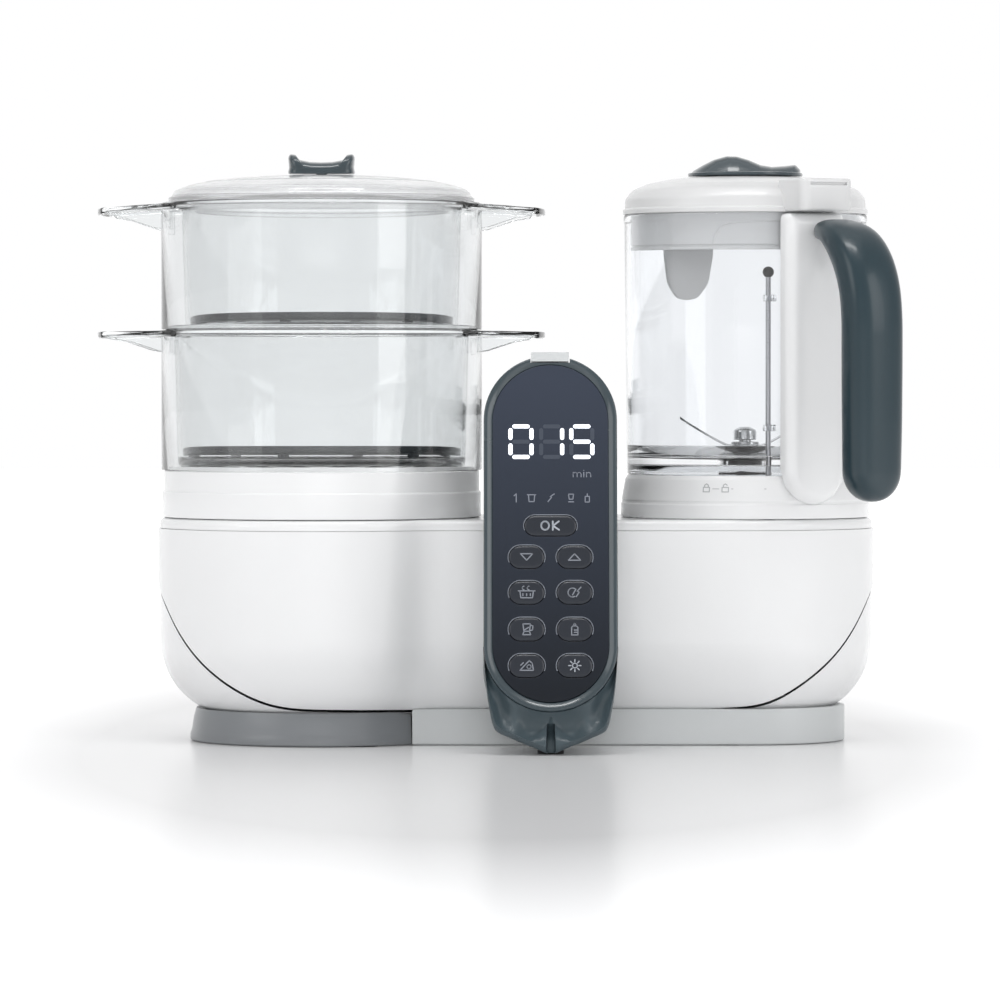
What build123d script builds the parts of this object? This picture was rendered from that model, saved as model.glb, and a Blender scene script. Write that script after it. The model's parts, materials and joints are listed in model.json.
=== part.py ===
from build123d import *
import math
import os

# Baby food maker: a steamer tower and a blender jar on one base, with a leaning key panel
# between them. Millimetres. +X to the blender side, -Y to the front, +Z up. The origin is the
# middle of the footprint on the table.

# ---- driving dimensions -------------------------------------------------------------------
AXIS_Y = 23.4           # both vessel axes lie in this plane
STEAMER_X = -81.3
JAR_X = 118.2
PANEL_X = 25.7
RUN = 0.05              # radial running clearance of shafts and plungers

SHELL_LEFT_R = 77.0     # base outline, steamer lobe
SHELL_RIGHT_R = 60.5    # base outline, blender lobe
SHELL_BOTTOM_Z = 10.0
SHELL_TOP_Z = 100.0
SHELL_ROUND = 38.0      # big radius under the base
SHELL_WALL = 2.6
PLATE_INSET = 39.0      # the bottom plate closes the middle of the underside
WAIST_R = 30.0          # hollow between the lobe and the straight body
SHELL_STEP = 1.0        # the front shell stands this far proud of the rear shell
SEAM_GAP = 1.4
DECK_Z = 105.0

FOOT_Z = 1.5            # rubber feet reach this far below the pedestals
PEDESTAL_TOP_Z = 17.0
PEDESTAL_R = 62.0
PLINTH_HALF = 47.0

PANEL_LEAN = 15.0       # degrees the key panel leans back
PANEL_BASE_Z = 20.0
PANEL_TOP_Z = 181.0
PANEL_FRONT_Y = -95.6   # panel face at the bottom of the pill
PANEL_W = 61.0
LENS_W = 52.8
LENS_T = 2.2
KEY_W = 16.0
KEY_H = 10.6
KEY_PITCH = 21.8
KEY_ROWS_Z = (89.3, 73.3, 56.8, 40.5)
OK_KEY_Z = 103.5
OK_KEY_W = 23.6
OK_KEY_H = 9.4
KEY_PROUD = 0.5

BOWL_R = 75.0
BOWL_TOP_Z = 127.0
BASKET_R = 75.5
BASKET_WALL = 1.8
LOWER_TOP_Z = 193.0
UPPER_TOP_Z = 253.0
WING_REACH = 105.3
WING_HALF_Y = 26.0
LOWER_CUP_R = 66.4      # food cup hung inside each basket
UPPER_CUP_R = 62.9
LID_R = 72.0
LID_TOP_Z = 266.0

JAR_R = 57.0
JAR_FOOT_R = 55.5
JAR_WALL = 2.2
JAR_RIM_Z = 247.0
COLLAR_R = 58.5
JAR_LID_R = 57.6
HANDLE_ANGLE = -60.0    # direction of the handle, from +X, seen from above
GRIP_REACH = 108.0
GRIP_W = 28.0
GRIP_D = 21.0

CAP_R = 22.0            # filler opening in the jar lid
SHAFT_R = 3.0
ROD_R = 1.2
ROD_ANGLE = -80.0       # interlock rod, just beside the handle
ROD_REACH = 49.5
PLUNGER_R = 1.8
PAN_R = 45.5

GLAND_X = 70.0
GLAND_Z = 50.0
GLAND_R = 5.0
CORD_R = 3.6
TANK_W = 56.0
TANK_LENGTH = 104.0
TANK_FRONT_Y = AXIS_Y - 51.0
TANK_TOP_Z = 157.0
TANK_PORT_Z = 112.0
PLINTH_X0 = -38.0

STEAMER = (STEAMER_X, AXIS_Y)
JAR = (JAR_X, AXIS_Y)
FILL_AT = (PANEL_X, AXIS_Y + 24.0)

PARTS = {}


# ---- helpers ------------------------------------------------------------------------------
def disc(radius, z0, z1, at=(0, 0)):
    return Pos(at[0], at[1], (z0 + z1) / 2) * Cylinder(radius, z1 - z0)


def ring(outer, inner, z0, z1, at=(0, 0)):
    return disc(outer, z0, z1, at) - disc(inner, z0 - 1, z1 + 1, at)


def block(x0, x1, y0, y1, z0, z1):
    return Pos((x0 + x1) / 2, (y0 + y1) / 2, (z0 + z1) / 2) * Box(x1 - x0, y1 - y0, z1 - z0)


def along_y(radius, y0, y1, at):
    """Round bar along Y through (x, z)."""
    return Pos(at[0], (y0 + y1) / 2, at[1]) * Rot(90, 0, 0) * Cylinder(radius, y1 - y0)


def turned(points, at=(0, 0)):
    """Solid of revolution about a vertical axis from a closed (radius, height) outline."""
    outline = Plane.XZ * make_face(Polyline(*points, close=True))
    return Pos(at[0], at[1], 0) * revolve(outline, Axis.Z)


def side_profile(points, y0, y1):
    """Prism along Y from a closed (x, z) outline."""
    outline = Plane.XZ * make_face(Polyline(*points, close=True))
    return Pos(0, y1, 0) * extrude(outline, y1 - y0)


def around(angle, radius, centre, shape):
    """Places a shape, drawn pointing along +X from the origin, around a vertical axis."""
    return Pos(centre[0], centre[1], 0) * Rot(0, 0, angle) * Pos(radius, 0, 0) * shape


def polar_points(count, radius, centre, start=0.0):
    steps = [math.radians(start + 360.0 * i / count) for i in range(count)]
    return [(centre[0] + radius * math.cos(a), centre[1] + radius * math.sin(a)) for a in steps]


def pill(width, height):
    """Stadium outline, long side up."""
    return Rot(0, 0, 90) * SlotOverall(height, width)


def add(name, shape):
    PARTS[name] = shape


# ---- base shells --------------------------------------------------------------------------
def base_outline(inset):
    """Plan of the base: a big round lobe at the steamer and a straight body at the blender."""
    lobe = SHELL_LEFT_R - inset
    half = SHELL_RIGHT_R - inset
    waist = WAIST_R + inset
    rise = SHELL_RIGHT_R + WAIST_R
    run = math.sqrt((SHELL_LEFT_R + WAIST_R) ** 2 - rise ** 2)
    turn = math.degrees(math.atan2(rise, run))
    waist_x = STEAMER_X + run
    edges = [
        CenterArc(STEAMER, lobe, turn, 360 - 2 * turn),
        CenterArc((waist_x, AXIS_Y - rise), waist, 180 - turn, turn - 90),
        Line((waist_x, AXIS_Y - half), (JAR_X, AXIS_Y - half)),
        CenterArc(JAR, half, -90, 180),
        Line((JAR_X, AXIS_Y + half), (waist_x, AXIS_Y + half)),
        CenterArc((waist_x, AXIS_Y + rise), waist, 270, turn - 90),
    ]
    return make_face(edges)


def tub(inset, z0, z1, round_radius):
    solid = Pos(0, 0, z0) * extrude(base_outline(inset), z1 - z0)
    bottom = solid.edges().group_by(Axis.Z)[0]
    return fillet(bottom, round_radius)


def smile_cutter(drop, z_top=SHELL_TOP_Z + 5):
    """Everything above the seam that sweeps under the front shell from side to side."""
    left = STEAMER_X - SHELL_LEFT_R - 5
    right = JAR_X + SHELL_RIGHT_R + 5
    points = [
        (left, 80), (left + 8, 68), (left + 14, 57), (left + 26, 41), (left + 43, 27.5),
        (left + 62, 19.5), (left + 84, 17.5), (right - 76, 17.5), (right - 58, 20),
        (right - 42, 28.5), (right - 26, 42), (right - 14, 58), (right - 8, 69), (right, 81),
    ]
    with BuildPart() as cutter:
        with BuildSketch(Plane.XZ):
            with BuildLine():
                curve = Spline(*[(x, z - drop) for x, z in points])
                Polyline(curve @ 1, (right, z_top), (left, z_top), curve @ 0)
            make_face()
        extrude(amount=400, both=True)
    return cutter.part


SPLIT_Y = AXIS_Y + 3


def make_shells():
    outer = tub(0, SHELL_BOTTOM_Z, SHELL_TOP_Z, SHELL_ROUND)
    middle = tub(SHELL_STEP, SHELL_BOTTOM_Z + SHELL_STEP, SHELL_TOP_Z, SHELL_ROUND - 1)
    inner = tub(SHELL_WALL, SHELL_BOTTOM_Z + SHELL_WALL, SHELL_TOP_Z + 10, SHELL_ROUND - SHELL_WALL)
    front_half = block(-300, 300, -200, SPLIT_Y, -10, 200)
    front_zone = smile_cutter(0) & front_half
    rear_block = smile_cutter(SEAM_GAP) & block(-300, 300, -200, SPLIT_Y + SEAM_GAP, -10, 200)
    pod_hole = block(PANEL_X - 24, PANEL_X + 24, -80, -20, 24, 98)
    add("front_shell", ((outer - inner) & front_zone) - pod_hole)
    rear = (middle - inner) - rear_block
    rear -= along_y(GLAND_R + 0.05, AXIS_Y + 30, AXIS_Y + 100, (GLAND_X, GLAND_Z))
    rear -= extrude(base_outline(PLATE_INSET - 0.2), 20)
    add("rear_shell", rear)


def make_deck():
    slab = Pos(0, 0, SHELL_TOP_Z + 0.2) * extrude(base_outline(0.8), DECK_Z - SHELL_TOP_Z - 0.2)
    slab = fillet(slab.edges().group_by(Axis.Z)[-1], 3.0)
    slab -= Pos(0, 0, SHELL_TOP_Z - 1) * extrude(base_outline(3.4), 3.4)
    skirt = Pos(0, 0, SHELL_TOP_Z - 5) * extrude(base_outline(SHELL_WALL + 0.3), 7.5)
    skirt -= Pos(0, 0, SHELL_TOP_Z - 6) * extrude(base_outline(SHELL_WALL + 2.1), 10)
    deck = slab + skirt
    deck -= disc(PAN_R + 0.3, 90, 120, STEAMER)
    deck += ring(46.5, 27.0, DECK_Z - 1, DECK_Z + 5, JAR)
    deck -= disc(14.0, 90, 120, JAR)
    deck -= around(ROD_ANGLE, ROD_REACH, JAR, disc(PLUNGER_R + RUN, 90, 120))
    y = TANK_FRONT_Y
    socket = block(PANEL_X - 8, PANEL_X + 8, y - 8.4, y - 0.6, DECK_Z - 1, 119)
    deck += socket - along_y(4.3, y - 7, y + 5, (PANEL_X, TANK_PORT_Z))
    add("top_deck", deck)


def foot_points():
    left = [(STEAMER_X - 48, AXIS_Y), (STEAMER_X + 20, AXIS_Y - 50), (STEAMER_X + 20, AXIS_Y + 50)]
    right = [(JAR_X + 36, AXIS_Y), (JAR_X - 10, AXIS_Y - 36), (JAR_X - 10, AXIS_Y + 36)]
    return left, right


def screw_points():
    return polar_points(3, 34, STEAMER, 30) + polar_points(3, 15, JAR, 90)


def pedestal(solid, skin, body, feet, screws):
    """Hollow foot block under the base: bosses for the rubber feet and for the screws."""
    solid -= skin
    for point in feet:
        solid += disc(9, FOOT_Z, 9, point)
    for point in screws:
        solid -= disc(1.55, 0, 20, point)
    return solid - body - PARTS["front_shell"]


def make_underside():
    plate = Pos(0, 0, 11.2) * extrude(base_outline(PLATE_INSET), 2.4)
    for point in screw_points():
        plate -= disc(1.55, 10, 20, point)
    add("bottom_plate", plate)
    body = tub(SHELL_STEP, SHELL_BOTTOM_Z + SHELL_STEP, SHELL_TOP_Z, SHELL_ROUND - 1)
    left_feet, right_feet = foot_points()
    left_side = block(-300, PLINTH_X0 - 0.3, -200, 200, 0, 40)
    left = disc(PEDESTAL_R, FOOT_Z, PEDESTAL_TOP_Z, STEAMER) & left_side
    hollow = disc(PEDESTAL_R - 3, 0, 8, STEAMER) & block(-300, PLINTH_X0 - 3.3, -200, 200, 0, 40)
    add("pedestal_left", pedestal(left, hollow, body, left_feet, screw_points()[:3]) & left_side)
    y0 = AXIS_Y - PLINTH_HALF
    y1 = AXIS_Y + PLINTH_HALF
    right = block(PLINTH_X0, JAR_X, y0, y1, FOOT_Z, PEDESTAL_TOP_Z)
    right += disc(PLINTH_HALF, FOOT_Z, PEDESTAL_TOP_Z, JAR)
    hollow = block(PLINTH_X0 + 3, JAR_X, y0 + 3, y1 - 3, 0, 8) + disc(PLINTH_HALF - 3, 0, 8, JAR)
    add("pedestal_right", pedestal(right, hollow, body, right_feet, screw_points()[3:]))
    pads = [disc(7.5, 0, FOOT_Z, point) for point in left_feet + right_feet]
    pads.append(disc(6.0, 0, FOOT_Z, (PANEL_X, PANEL_FRONT_Y + 14)))
    add("rubber_feet", Compound(pads))
    screws = [disc(3.4, 13.6, 15.4, p) + disc(1.5, 8.2, 13.7, p) for p in screw_points()]
    add("housing_screws", Compound(screws))


# ---- key panel ----------------------------------------------------------------------------
LEAN = math.radians(PANEL_LEAN)
PANEL_MID_Z = (PANEL_BASE_Z + PANEL_TOP_Z) / 2
PANEL_H = (PANEL_TOP_Z - PANEL_BASE_Z) / math.cos(LEAN)
PANEL_MID_Y = PANEL_FRONT_Y + (PANEL_MID_Z - PANEL_BASE_Z) * math.tan(LEAN)
PANEL = Plane(
    origin=(PANEL_X, PANEL_MID_Y, PANEL_MID_Z),
    x_dir=(1, 0, 0),
    z_dir=(0, -math.cos(LEAN), math.sin(LEAN)),
)
CASING_BACK_Y = AXIS_Y - SHELL_RIGHT_R - 0.3


def on_panel(outline, depth0, depth1, x=0.0, z=None):
    """Extrudes an outline between two depths along the panel's normal; z is a row height."""
    up = 0.0 if z is None else (z - PANEL_MID_Z) / math.cos(LEAN)
    return PANEL.location * Pos(x, up, depth0) * extrude(outline, depth1 - depth0)


def key_places():
    places = [("key_ok", 0.0, OK_KEY_Z, OK_KEY_W, OK_KEY_H)]
    names = (
        ("key_down", "key_up"),
        ("key_steam", "key_defrost"),
        ("key_blend", "key_bottle"),
        ("key_sterilise", "key_light"),
    )
    for row, pair in zip(KEY_ROWS_Z, names):
        for side, name in zip((-1, 1), pair):
            places.append((name, side * KEY_PITCH / 2, row, KEY_W, KEY_H))
    return places


def make_panel():
    behind = block(-300, 300, -300, CASING_BACK_Y, 0, 300)
    casing = on_panel(pill(PANEL_W, PANEL_H), -90, 0) & behind
    cavity = on_panel(pill(PANEL_W - 14, PANEL_H - 14), -90, 1)
    cavity = cavity & block(-300, 300, -300, CASING_BACK_Y - 3, 0, 300)
    casing -= cavity
    casing -= on_panel(pill(LENS_W + 0.4, PANEL_H - 8.4), -LENS_T - 0.2, 1)
    casing -= block(PANEL_X - 9, PANEL_X + 9, -100, 0, 177.6, 200)
    add("control_casing", casing)

    lens = on_panel(pill(LENS_W, PANEL_H - 8.8), -LENS_T - 0.2, -0.2)
    board = on_panel(pill(43, PANEL_H - 20), -11, -9.4)
    for name, x, z, width, height in key_places():
        lens -= on_panel(SlotOverall(width + 0.5, height + 0.5), -9, 2, x, z)
        cap = on_panel(SlotOverall(width, height), -3.5, KEY_PROUD - 0.2, x, z)
        flange = on_panel(SlotOverall(width + 2, height + 2), -4.6, -3.4, x, z)
        stem = on_panel(Circle(2.0), -6.6, -4.5, x, z)
        add(name, cap + flange + stem)
        board += on_panel(Rectangle(6, 6), -9.5, -7.6, x, z)
    add("panel_lens", lens)
    add("control_board", board)
    add("display_module", on_panel(Rectangle(43, 41), -9.3, -2.7, 0, 132))

    half = PANEL_W / 2 - 0.3
    outline = [
        (-half, 66), (-half, 22), (-24.5, 9), (-9, 1.5), (9, 1.5), (24.5, 9), (half, 22), (half, 66),
    ]
    chin = side_profile([(PANEL_X + x, z) for x, z in outline], -140, CASING_BACK_Y)
    chin = chin & on_panel(Rectangle(400, 600), -150, -0.8)
    chin -= on_panel(pill(PANEL_W + 0.4, PANEL_H + 0.4), -150, 10)
    chin -= on_panel(pill(PANEL_W - 14, PANEL_H - 14), -150, 10)
    add("panel_chin", chin.solids().sort_by(SortBy.VOLUME)[-1])


# ---- steamer tower ------------------------------------------------------------------------
def wing(top_z, tip_z, root_z):
    """Side grips of a basket: a thin plate on two tapered ribs, on both sides."""
    plan = extrude(Circle(WING_REACH) & Rectangle(300, 2 * WING_HALF_Y), 400)
    inner = disc(BASKET_R - 1.0, 0, 400)
    plate = [(60, top_z), (WING_REACH, tip_z + 1.2), (WING_REACH, tip_z - 0.4), (60, top_z - 1.8)]
    rib = [
        (60, top_z - 1), (WING_REACH - 2, tip_z), (WING_REACH - 2, tip_z - 0.9),
        (94, tip_z - 2.4), (84, root_z + 2.6), (77, root_z + 0.6), (60, root_z),
    ]
    wings = []
    for side in (-1, 1):
        shape = side_profile([(side * x, z) for x, z in plate], -WING_HALF_Y, WING_HALF_Y)
        for y in (-WING_HALF_Y, WING_HALF_Y - 1.8):
            shape += side_profile([(side * x, z) for x, z in rib], y, y + 1.8)
        wings.append(((shape & plan) - inner))
    return [Pos(STEAMER_X, AXIS_Y, 0) * w for w in wings]


def basket(bottom_z, top_z, cup_r, floor_z, tip_z, root_z, lip):
    wall = BASKET_WALL
    inner_top = cup_r + 1.2
    points = [(BASKET_R, bottom_z), (BASKET_R, top_z)]
    if lip:
        points += [(73.2, top_z), (73.2, top_z + 2.5), (71.8, top_z + 2.5), (71.8, top_z)]
    points += [
        (inner_top, top_z), (cup_r, floor_z), (0, floor_z), (0, floor_z - wall),
        (cup_r + 1.6, floor_z - wall), (inner_top + 1.6, top_z - wall),
        (BASKET_R - 2, top_z - wall), (BASKET_R - 2, bottom_z),
    ]
    shape = turned(points, STEAMER)
    for grip in wing(top_z, tip_z, root_z):
        shape += grip
    for radius, count in ((16, 6), (34, 12), (52, 18)):
        for point in polar_points(count, radius, STEAMER):
            shape -= disc(3.0, floor_z - 5, floor_z + 2, point)
    return shape


def tray(radius, z, foot_z):
    points = [(0, z), (radius, z), (radius + 0.3, z + 3.4), (radius - 1.3, z + 3.4)]
    points += [(radius - 1.6, z + 1.5), (0, z + 1.5)]
    shape = turned(points, STEAMER)
    for point in polar_points(6, radius - 12, STEAMER, 15):
        shape += disc(3.0, foot_z, z + 0.5, point)
    for ring_r, count in ((12, 6), (25, 12), (38, 18)):
        for point in polar_points(count, ring_r, STEAMER):
            shape -= disc(2.2, z - 3, z + 3, point)
    return shape


def dome(radius, edge_z, rise, steps=9):
    """(radius, height) points of a shallow elliptical dome, from its edge to the axis."""
    angles = [math.pi / 2 * i / steps for i in range(steps + 1)]
    return [(radius * math.cos(a), edge_z + rise * math.sin(a)) for a in angles]


def make_steamer():
    bowl = [
        (BOWL_R, 105.3), (BOWL_R, 117), (74.2, 117.4), (74.2, BOWL_TOP_Z), (73.2, BOWL_TOP_Z),
        (73.2, 129.5), (71.6, 129.5), (71.6, 113), (69, 110.8), (11, 108.8), (11, 124),
        (8.8, 124), (8.8, 106.8), (68, 108.6), (72.6, 108.6), (72.6, 105.3),
    ]
    add("juice_bowl", turned(bowl, STEAMER))
    add("lower_basket", basket(BOWL_TOP_Z + 0.3, LOWER_TOP_Z, LOWER_CUP_R, 133.0, 191.0, 183.0, True))
    add("upper_basket", basket(LOWER_TOP_Z + 0.3, UPPER_TOP_Z, UPPER_CUP_R, 196.6, 248.6, 240.5, False))
    add("lower_tray", tray(65.4, 136.4, 133.3))
    add("upper_tray", tray(61.9, 198.4, 196.9))

    outline = [(LID_R - 4, UPPER_TOP_Z + 0.3), (LID_R, UPPER_TOP_Z + 0.3)]
    outline += dome(LID_R, 255.6, LID_TOP_Z - 255.6)
    outline += reversed(dome(LID_R - 4, 253.8, LID_TOP_Z - 2.0 - 253.8))
    lid = turned(outline, STEAMER) + ring(62.2, 60.4, 248.8, 258.5, STEAMER)
    lid -= disc(2.6, 250, 270, STEAMER)
    for side in (-1, 1):
        lid -= disc(2.5, 250, 270, (STEAMER_X + side * 30, AXIS_Y))
    add("steamer_lid", lid)

    saddle = [
        (-12.5, 266.3), (12.5, 266.3), (15.0, 268.2), (15.75, 271.5), (15.2, 276), (11, 273.2),
        (6, 271.5), (0, 271), (-6, 271.5), (-11, 273.2), (-15.2, 276), (-15.75, 271.5), (-15.0, 268.2),
    ]
    knob = side_profile([(STEAMER_X + x, z) for x, z in saddle], AXIS_Y - 12, AXIS_Y + 12)
    knob += disc(2.5, 262.0, 267, STEAMER) + disc(3.6, 261.0, 263.8, STEAMER)
    add("lid_handle", knob)


# ---- blender jar --------------------------------------------------------------------------
def hexagon(flats, z0, z1, at):
    outline = RegularPolygon(flats / 2, 6, major_radius=False)
    return Pos(at[0], at[1], z0) * extrude(outline, z1 - z0)


def make_jar():
    jar = [
        (52.4, 113), (54.2, 113), (54.2, 125.5), (JAR_FOOT_R, 125.5), (JAR_R, JAR_RIM_Z),
        (JAR_R - JAR_WALL, JAR_RIM_Z), (JAR_FOOT_R - JAR_WALL, 137), (51.4, 133), (9.0, 133),
        (9.0, 130.5), (52.4, 130.5),
    ]
    vessel = turned(jar, JAR)
    for z in (146, 206):
        lug = block(ROD_REACH - 2.6, 55.0, -2.6, 2.6, z, z + 3)
        vessel += around(ROD_ANGLE, 0, JAR, lug)
    rod_hole = around(ROD_ANGLE, ROD_REACH, JAR, disc(ROD_R + RUN, 100, 230))
    add("jar", vessel - rod_hole)

    collar = [
        (COLLAR_R, 105.3), (COLLAR_R - 0.3, 112), (56.2, 123.6), (55.2, 125.2), (54.5, 125.2),
        (54.5, 112.7), (51.6, 112.7), (51.6, 105.3),
    ]
    add("jar_collar", turned(collar, JAR))

    holder = [
        (SHAFT_R + RUN, 119.2), (8, 119.2), (8, 133.6), (14, 133.6), (14, 135.2), (6, 137.4),
        (SHAFT_R + RUN, 137.4),
    ]
    add("blade_holder", turned(holder, JAR))
    add("blade_nut", ring(12.5, 8.1, 125.2, 130.4, JAR))
    add("blade_seal", ring(13.4, 9.2, 133.05, 133.55, JAR))

    add("blade_shaft", disc(SHAFT_R, 116.4, 142, JAR) + disc(5.4, 141.3, 148.0, JAR))
    coupling = disc(11, 107.6, 118.8, JAR) - hexagon(12.6, 107, 116.4, JAR)
    add("jar_coupling", coupling - disc(SHAFT_R + 0.02, 116, 120, JAR))
    knife = disc(6.0, 137.8, 141.2, JAR)
    for angle, tilt in ((0, 24), (90, -3), (180, 24), (270, -3)):
        arm = Pos(4, 0, 139.5) * Rot(0, -tilt, 0) * block(0, 27, -4.5, 4.5, -0.6, 0.6)
        knife += around(angle, 0, JAR, arm)
    add("blades", knife - disc(SHAFT_R + 0.02, 130, 150, JAR))


def make_handle():
    slot_plane = Plane(origin=(0, 0, 0), x_dir=(0, 1, 0), z_dir=(1, 0, 0))
    z0 = 112.0
    height = JAR_RIM_Z - z0
    outline = Pos(0, z0 + height / 2) * pill(31.6, height)
    bracket = slot_plane.location * Pos(0, 0, 50) * extrude(outline, 14)
    bracket -= disc(JAR_R + 0.3, 0, 300)
    bracket -= disc(COLLAR_R + 0.2, 0, 126)
    near = GRIP_REACH - GRIP_D / 2
    far = GRIP_REACH + GRIP_D / 2
    profile = [
        (64.2, 243), (GRIP_REACH, 243.6), (far - 4, 238), (far, 226), (far, 124), (far - 5, 115),
        (near + 6, 114), (near, 120), (near, 208), (near - 4, 216), (near - 12, 221), (64.2, 223),
    ]
    grip = side_profile(profile, -GRIP_W / 2, GRIP_W / 2)
    plan = Pos(GRIP_REACH, 0) * RectangleRounded(GRIP_D, GRIP_W, 8)
    plan += Pos((GRIP_REACH + 60) / 2, 0) * Rectangle(GRIP_REACH - 60, 22)
    grip = grip & extrude(plan, 300)
    rounded = Pos(0, 114 + 65) * pill(GRIP_W, 130.5)
    grip = grip & (slot_plane.location * Pos(0, 0, 60) * extrude(rounded, 70))
    screws = []
    for z in (229, 237):
        hole = Pos(67, 0, z) * Rot(0, 90, 0) * Cylinder(1.55, 22)
        grip -= hole
        bracket -= hole
        shank = Pos(67.5, 0, z) * Rot(0, 90, 0) * Cylinder(1.5, 18)
        head = Pos(59.2, 0, z) * Rot(0, 90, 0) * Cylinder(3.0, 1.6)
        bracket -= Pos(58.5, 0, z) * Rot(0, 90, 0) * Cylinder(3.1, 3.2)
        screws.append(shank + head)
    add("handle_bracket", around(HANDLE_ANGLE, 0, JAR, bracket))
    add("handle_grip", around(HANDLE_ANGLE, 0, JAR, grip))
    add("handle_screws", Compound([around(HANDLE_ANGLE, 0, JAR, s) for s in screws]))


def make_jar_lid():
    outline = [
        (JAR_LID_R, 247.3), (JAR_LID_R, 257.6), (54.5, 260.4), (42, 263), (30, 264.6), (CAP_R, 265),
        (CAP_R, 262.6), (30, 262.4), (42, 260.8), (52, 257.8), (52, 232), (54.0, 232), (54.0, 247.3),
    ]
    lid = turned(outline, JAR)
    tongue = [(-14, 236), (-13.5, 222), (-8, 211), (-3, 207), (3, 207), (8, 211), (13.5, 222), (14, 236)]
    slot_plane = Plane(origin=(0, 0, 0), x_dir=(0, 1, 0), z_dir=(1, 0, 0))
    flap = slot_plane.location * Pos(0, 0, 30) * extrude(make_face(Polyline(*tongue, close=True)), 40)
    flap = flap & ring(54.0, 52.0, 200, 240)
    lid += around(HANDLE_ANGLE + 180, 0, JAR, flap)
    lock_plan = Pos(61, 0) * RectangleRounded(22, 28, 4)
    lock = Pos(0, 0, 247.6) * extrude(lock_plan, 13.4)
    lock -= disc(52.5, 240, 262)
    lock -= block(66, 80, -11, 11, 254.6, 256.0)
    lid += around(HANDLE_ANGLE, 0, JAR, lock)
    add("jar_lid", lid.solids().sort_by(SortBy.VOLUME)[-1])

    wave = [
        (-27, 265.4), (27, 265.4), (27, 267.0), (24.5, 268.2), (20, 267.4), (14, 266.9), (9, 267.4),
        (4, 270.4), (-1, 273.8), (-6, 275), (-12, 274.2), (-18, 271.4), (-23, 268.2), (-27, 267.0),
    ]
    crest = side_profile([(JAR_X + x, z) for x, z in wave], AXIS_Y - 9, AXIS_Y + 9)
    crest = crest & disc(27, 260, 280, JAR)
    cap = crest + disc(27, 265.3, 266.8, JAR)
    cap += ring(CAP_R - 0.4, CAP_R - 2.4, 256, 265.6, JAR)
    add("filler_cap", cap)


# ---- drive, interlock and heating ---------------------------------------------------------
def make_drive():
    can = ring(28, 25.8, 30, 84, JAR) + ring(28, SHAFT_R + RUN, 30, 32, JAR)
    can += ring(28, SHAFT_R + RUN, 82, 84, JAR)
    add("motor_can", can)
    mount = ring(44, 12, 84.4, 87, JAR)
    for point in polar_points(4, 40, JAR, 45):
        mount += disc(3.2, 20, 85, point)
    add("motor_mount", mount)
    add("motor_rotor", disc(SHAFT_R, 19, 115.4, JAR) + disc(20, 38, 78, JAR))
    fan = ring(8, SHAFT_R, 20, 27, JAR)
    for i in range(7):
        vane = Pos(0, 0, 23.5) * Rot(32, 0, 0) * block(7, 24, -3.6, 3.6, -0.6, 0.6)
        fan += around(360 / 7 * i, 0, JAR, vane)
    add("cooling_fan", fan)
    coupler = disc(10, 103.6, 106.2, JAR) + hexagon(12.0, 106, 116, JAR)
    add("drive_coupler", coupler - disc(SHAFT_R, 100, 115.4, JAR))


def make_interlock():
    rod = disc(ROD_R, 107.0, 217.5) + Pos(0, 0, 219.5) * Sphere(2.6)
    add("interlock_rod", around(ROD_ANGLE, ROD_REACH, JAR, rod))
    plunger = disc(PLUNGER_R, 88, 106.4) + disc(3.4, 88, 89.5)
    add("interlock_plunger", around(ROD_ANGLE, ROD_REACH, JAR, plunger))
    switch = block(-5, 5, -9, 9, 70, 84) + block(-2, 2, -2, 2, 83.5, 84.6)
    add("safety_switch", around(ROD_ANGLE, ROD_REACH, JAR, switch))


def make_heating():
    pan = [
        (0, 94), (PAN_R - 1.5, 94), (PAN_R, 96), (PAN_R, 105.85), (PAN_R + 4.5, 105.85),
        (PAN_R + 4.5, 106.7), (PAN_R - 1.2, 106.7), (PAN_R - 1.2, 96.5), (PAN_R - 2.4, 95.2), (0, 95.2),
    ]
    element = Pos(STEAMER_X, AXIS_Y, 90.1) * Torus(30, 4.1)
    add("heater_pan", turned(pan, STEAMER) + element)
    add("pan_gasket", ring(PAN_R + 4.3, PAN_R + 1.1, 105.02, 105.82, STEAMER))
    add("thermostat", disc(9, 86, 93.8, STEAMER))
    route = FilletPolyline(
        (PANEL_X, AXIS_Y - 50, 99), (PANEL_X, AXIS_Y - 50, 80), (-24, AXIS_Y, 80), (-24, AXIS_Y, 99), radius=8
    )
    start = Plane(origin=route @ 0, z_dir=route % 0)
    add("water_hose", sweep(start * (Circle(4) - Circle(2.8)), path=route))
    board = block(-8, 48, AXIS_Y - 8, AXIS_Y + 32, 40, 41.6)
    board += block(2, 22, AXIS_Y, AXIS_Y + 20, 41.5, 64) + disc(6, 41.5, 64, (38, AXIS_Y + 12))
    add("power_board", board)
    wall_y = AXIS_Y + SHELL_RIGHT_R - SHELL_STEP
    place = (GLAND_X, GLAND_Z)
    gland = along_y(GLAND_R, wall_y - 6, wall_y + 3, place)
    gland += along_y(7.4, wall_y, wall_y + 2.4, place)
    add("cord_gland", gland - along_y(CORD_R, wall_y - 10, wall_y + 10, place))


# ---- water tank ---------------------------------------------------------------------------
def tank_plan(inset):
    outline = Rot(0, 0, 90) * SlotOverall(TANK_LENGTH - 2 * inset, TANK_W - 2 * inset)
    return Pos(PANEL_X, TANK_FRONT_Y + TANK_LENGTH / 2) * outline


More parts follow.
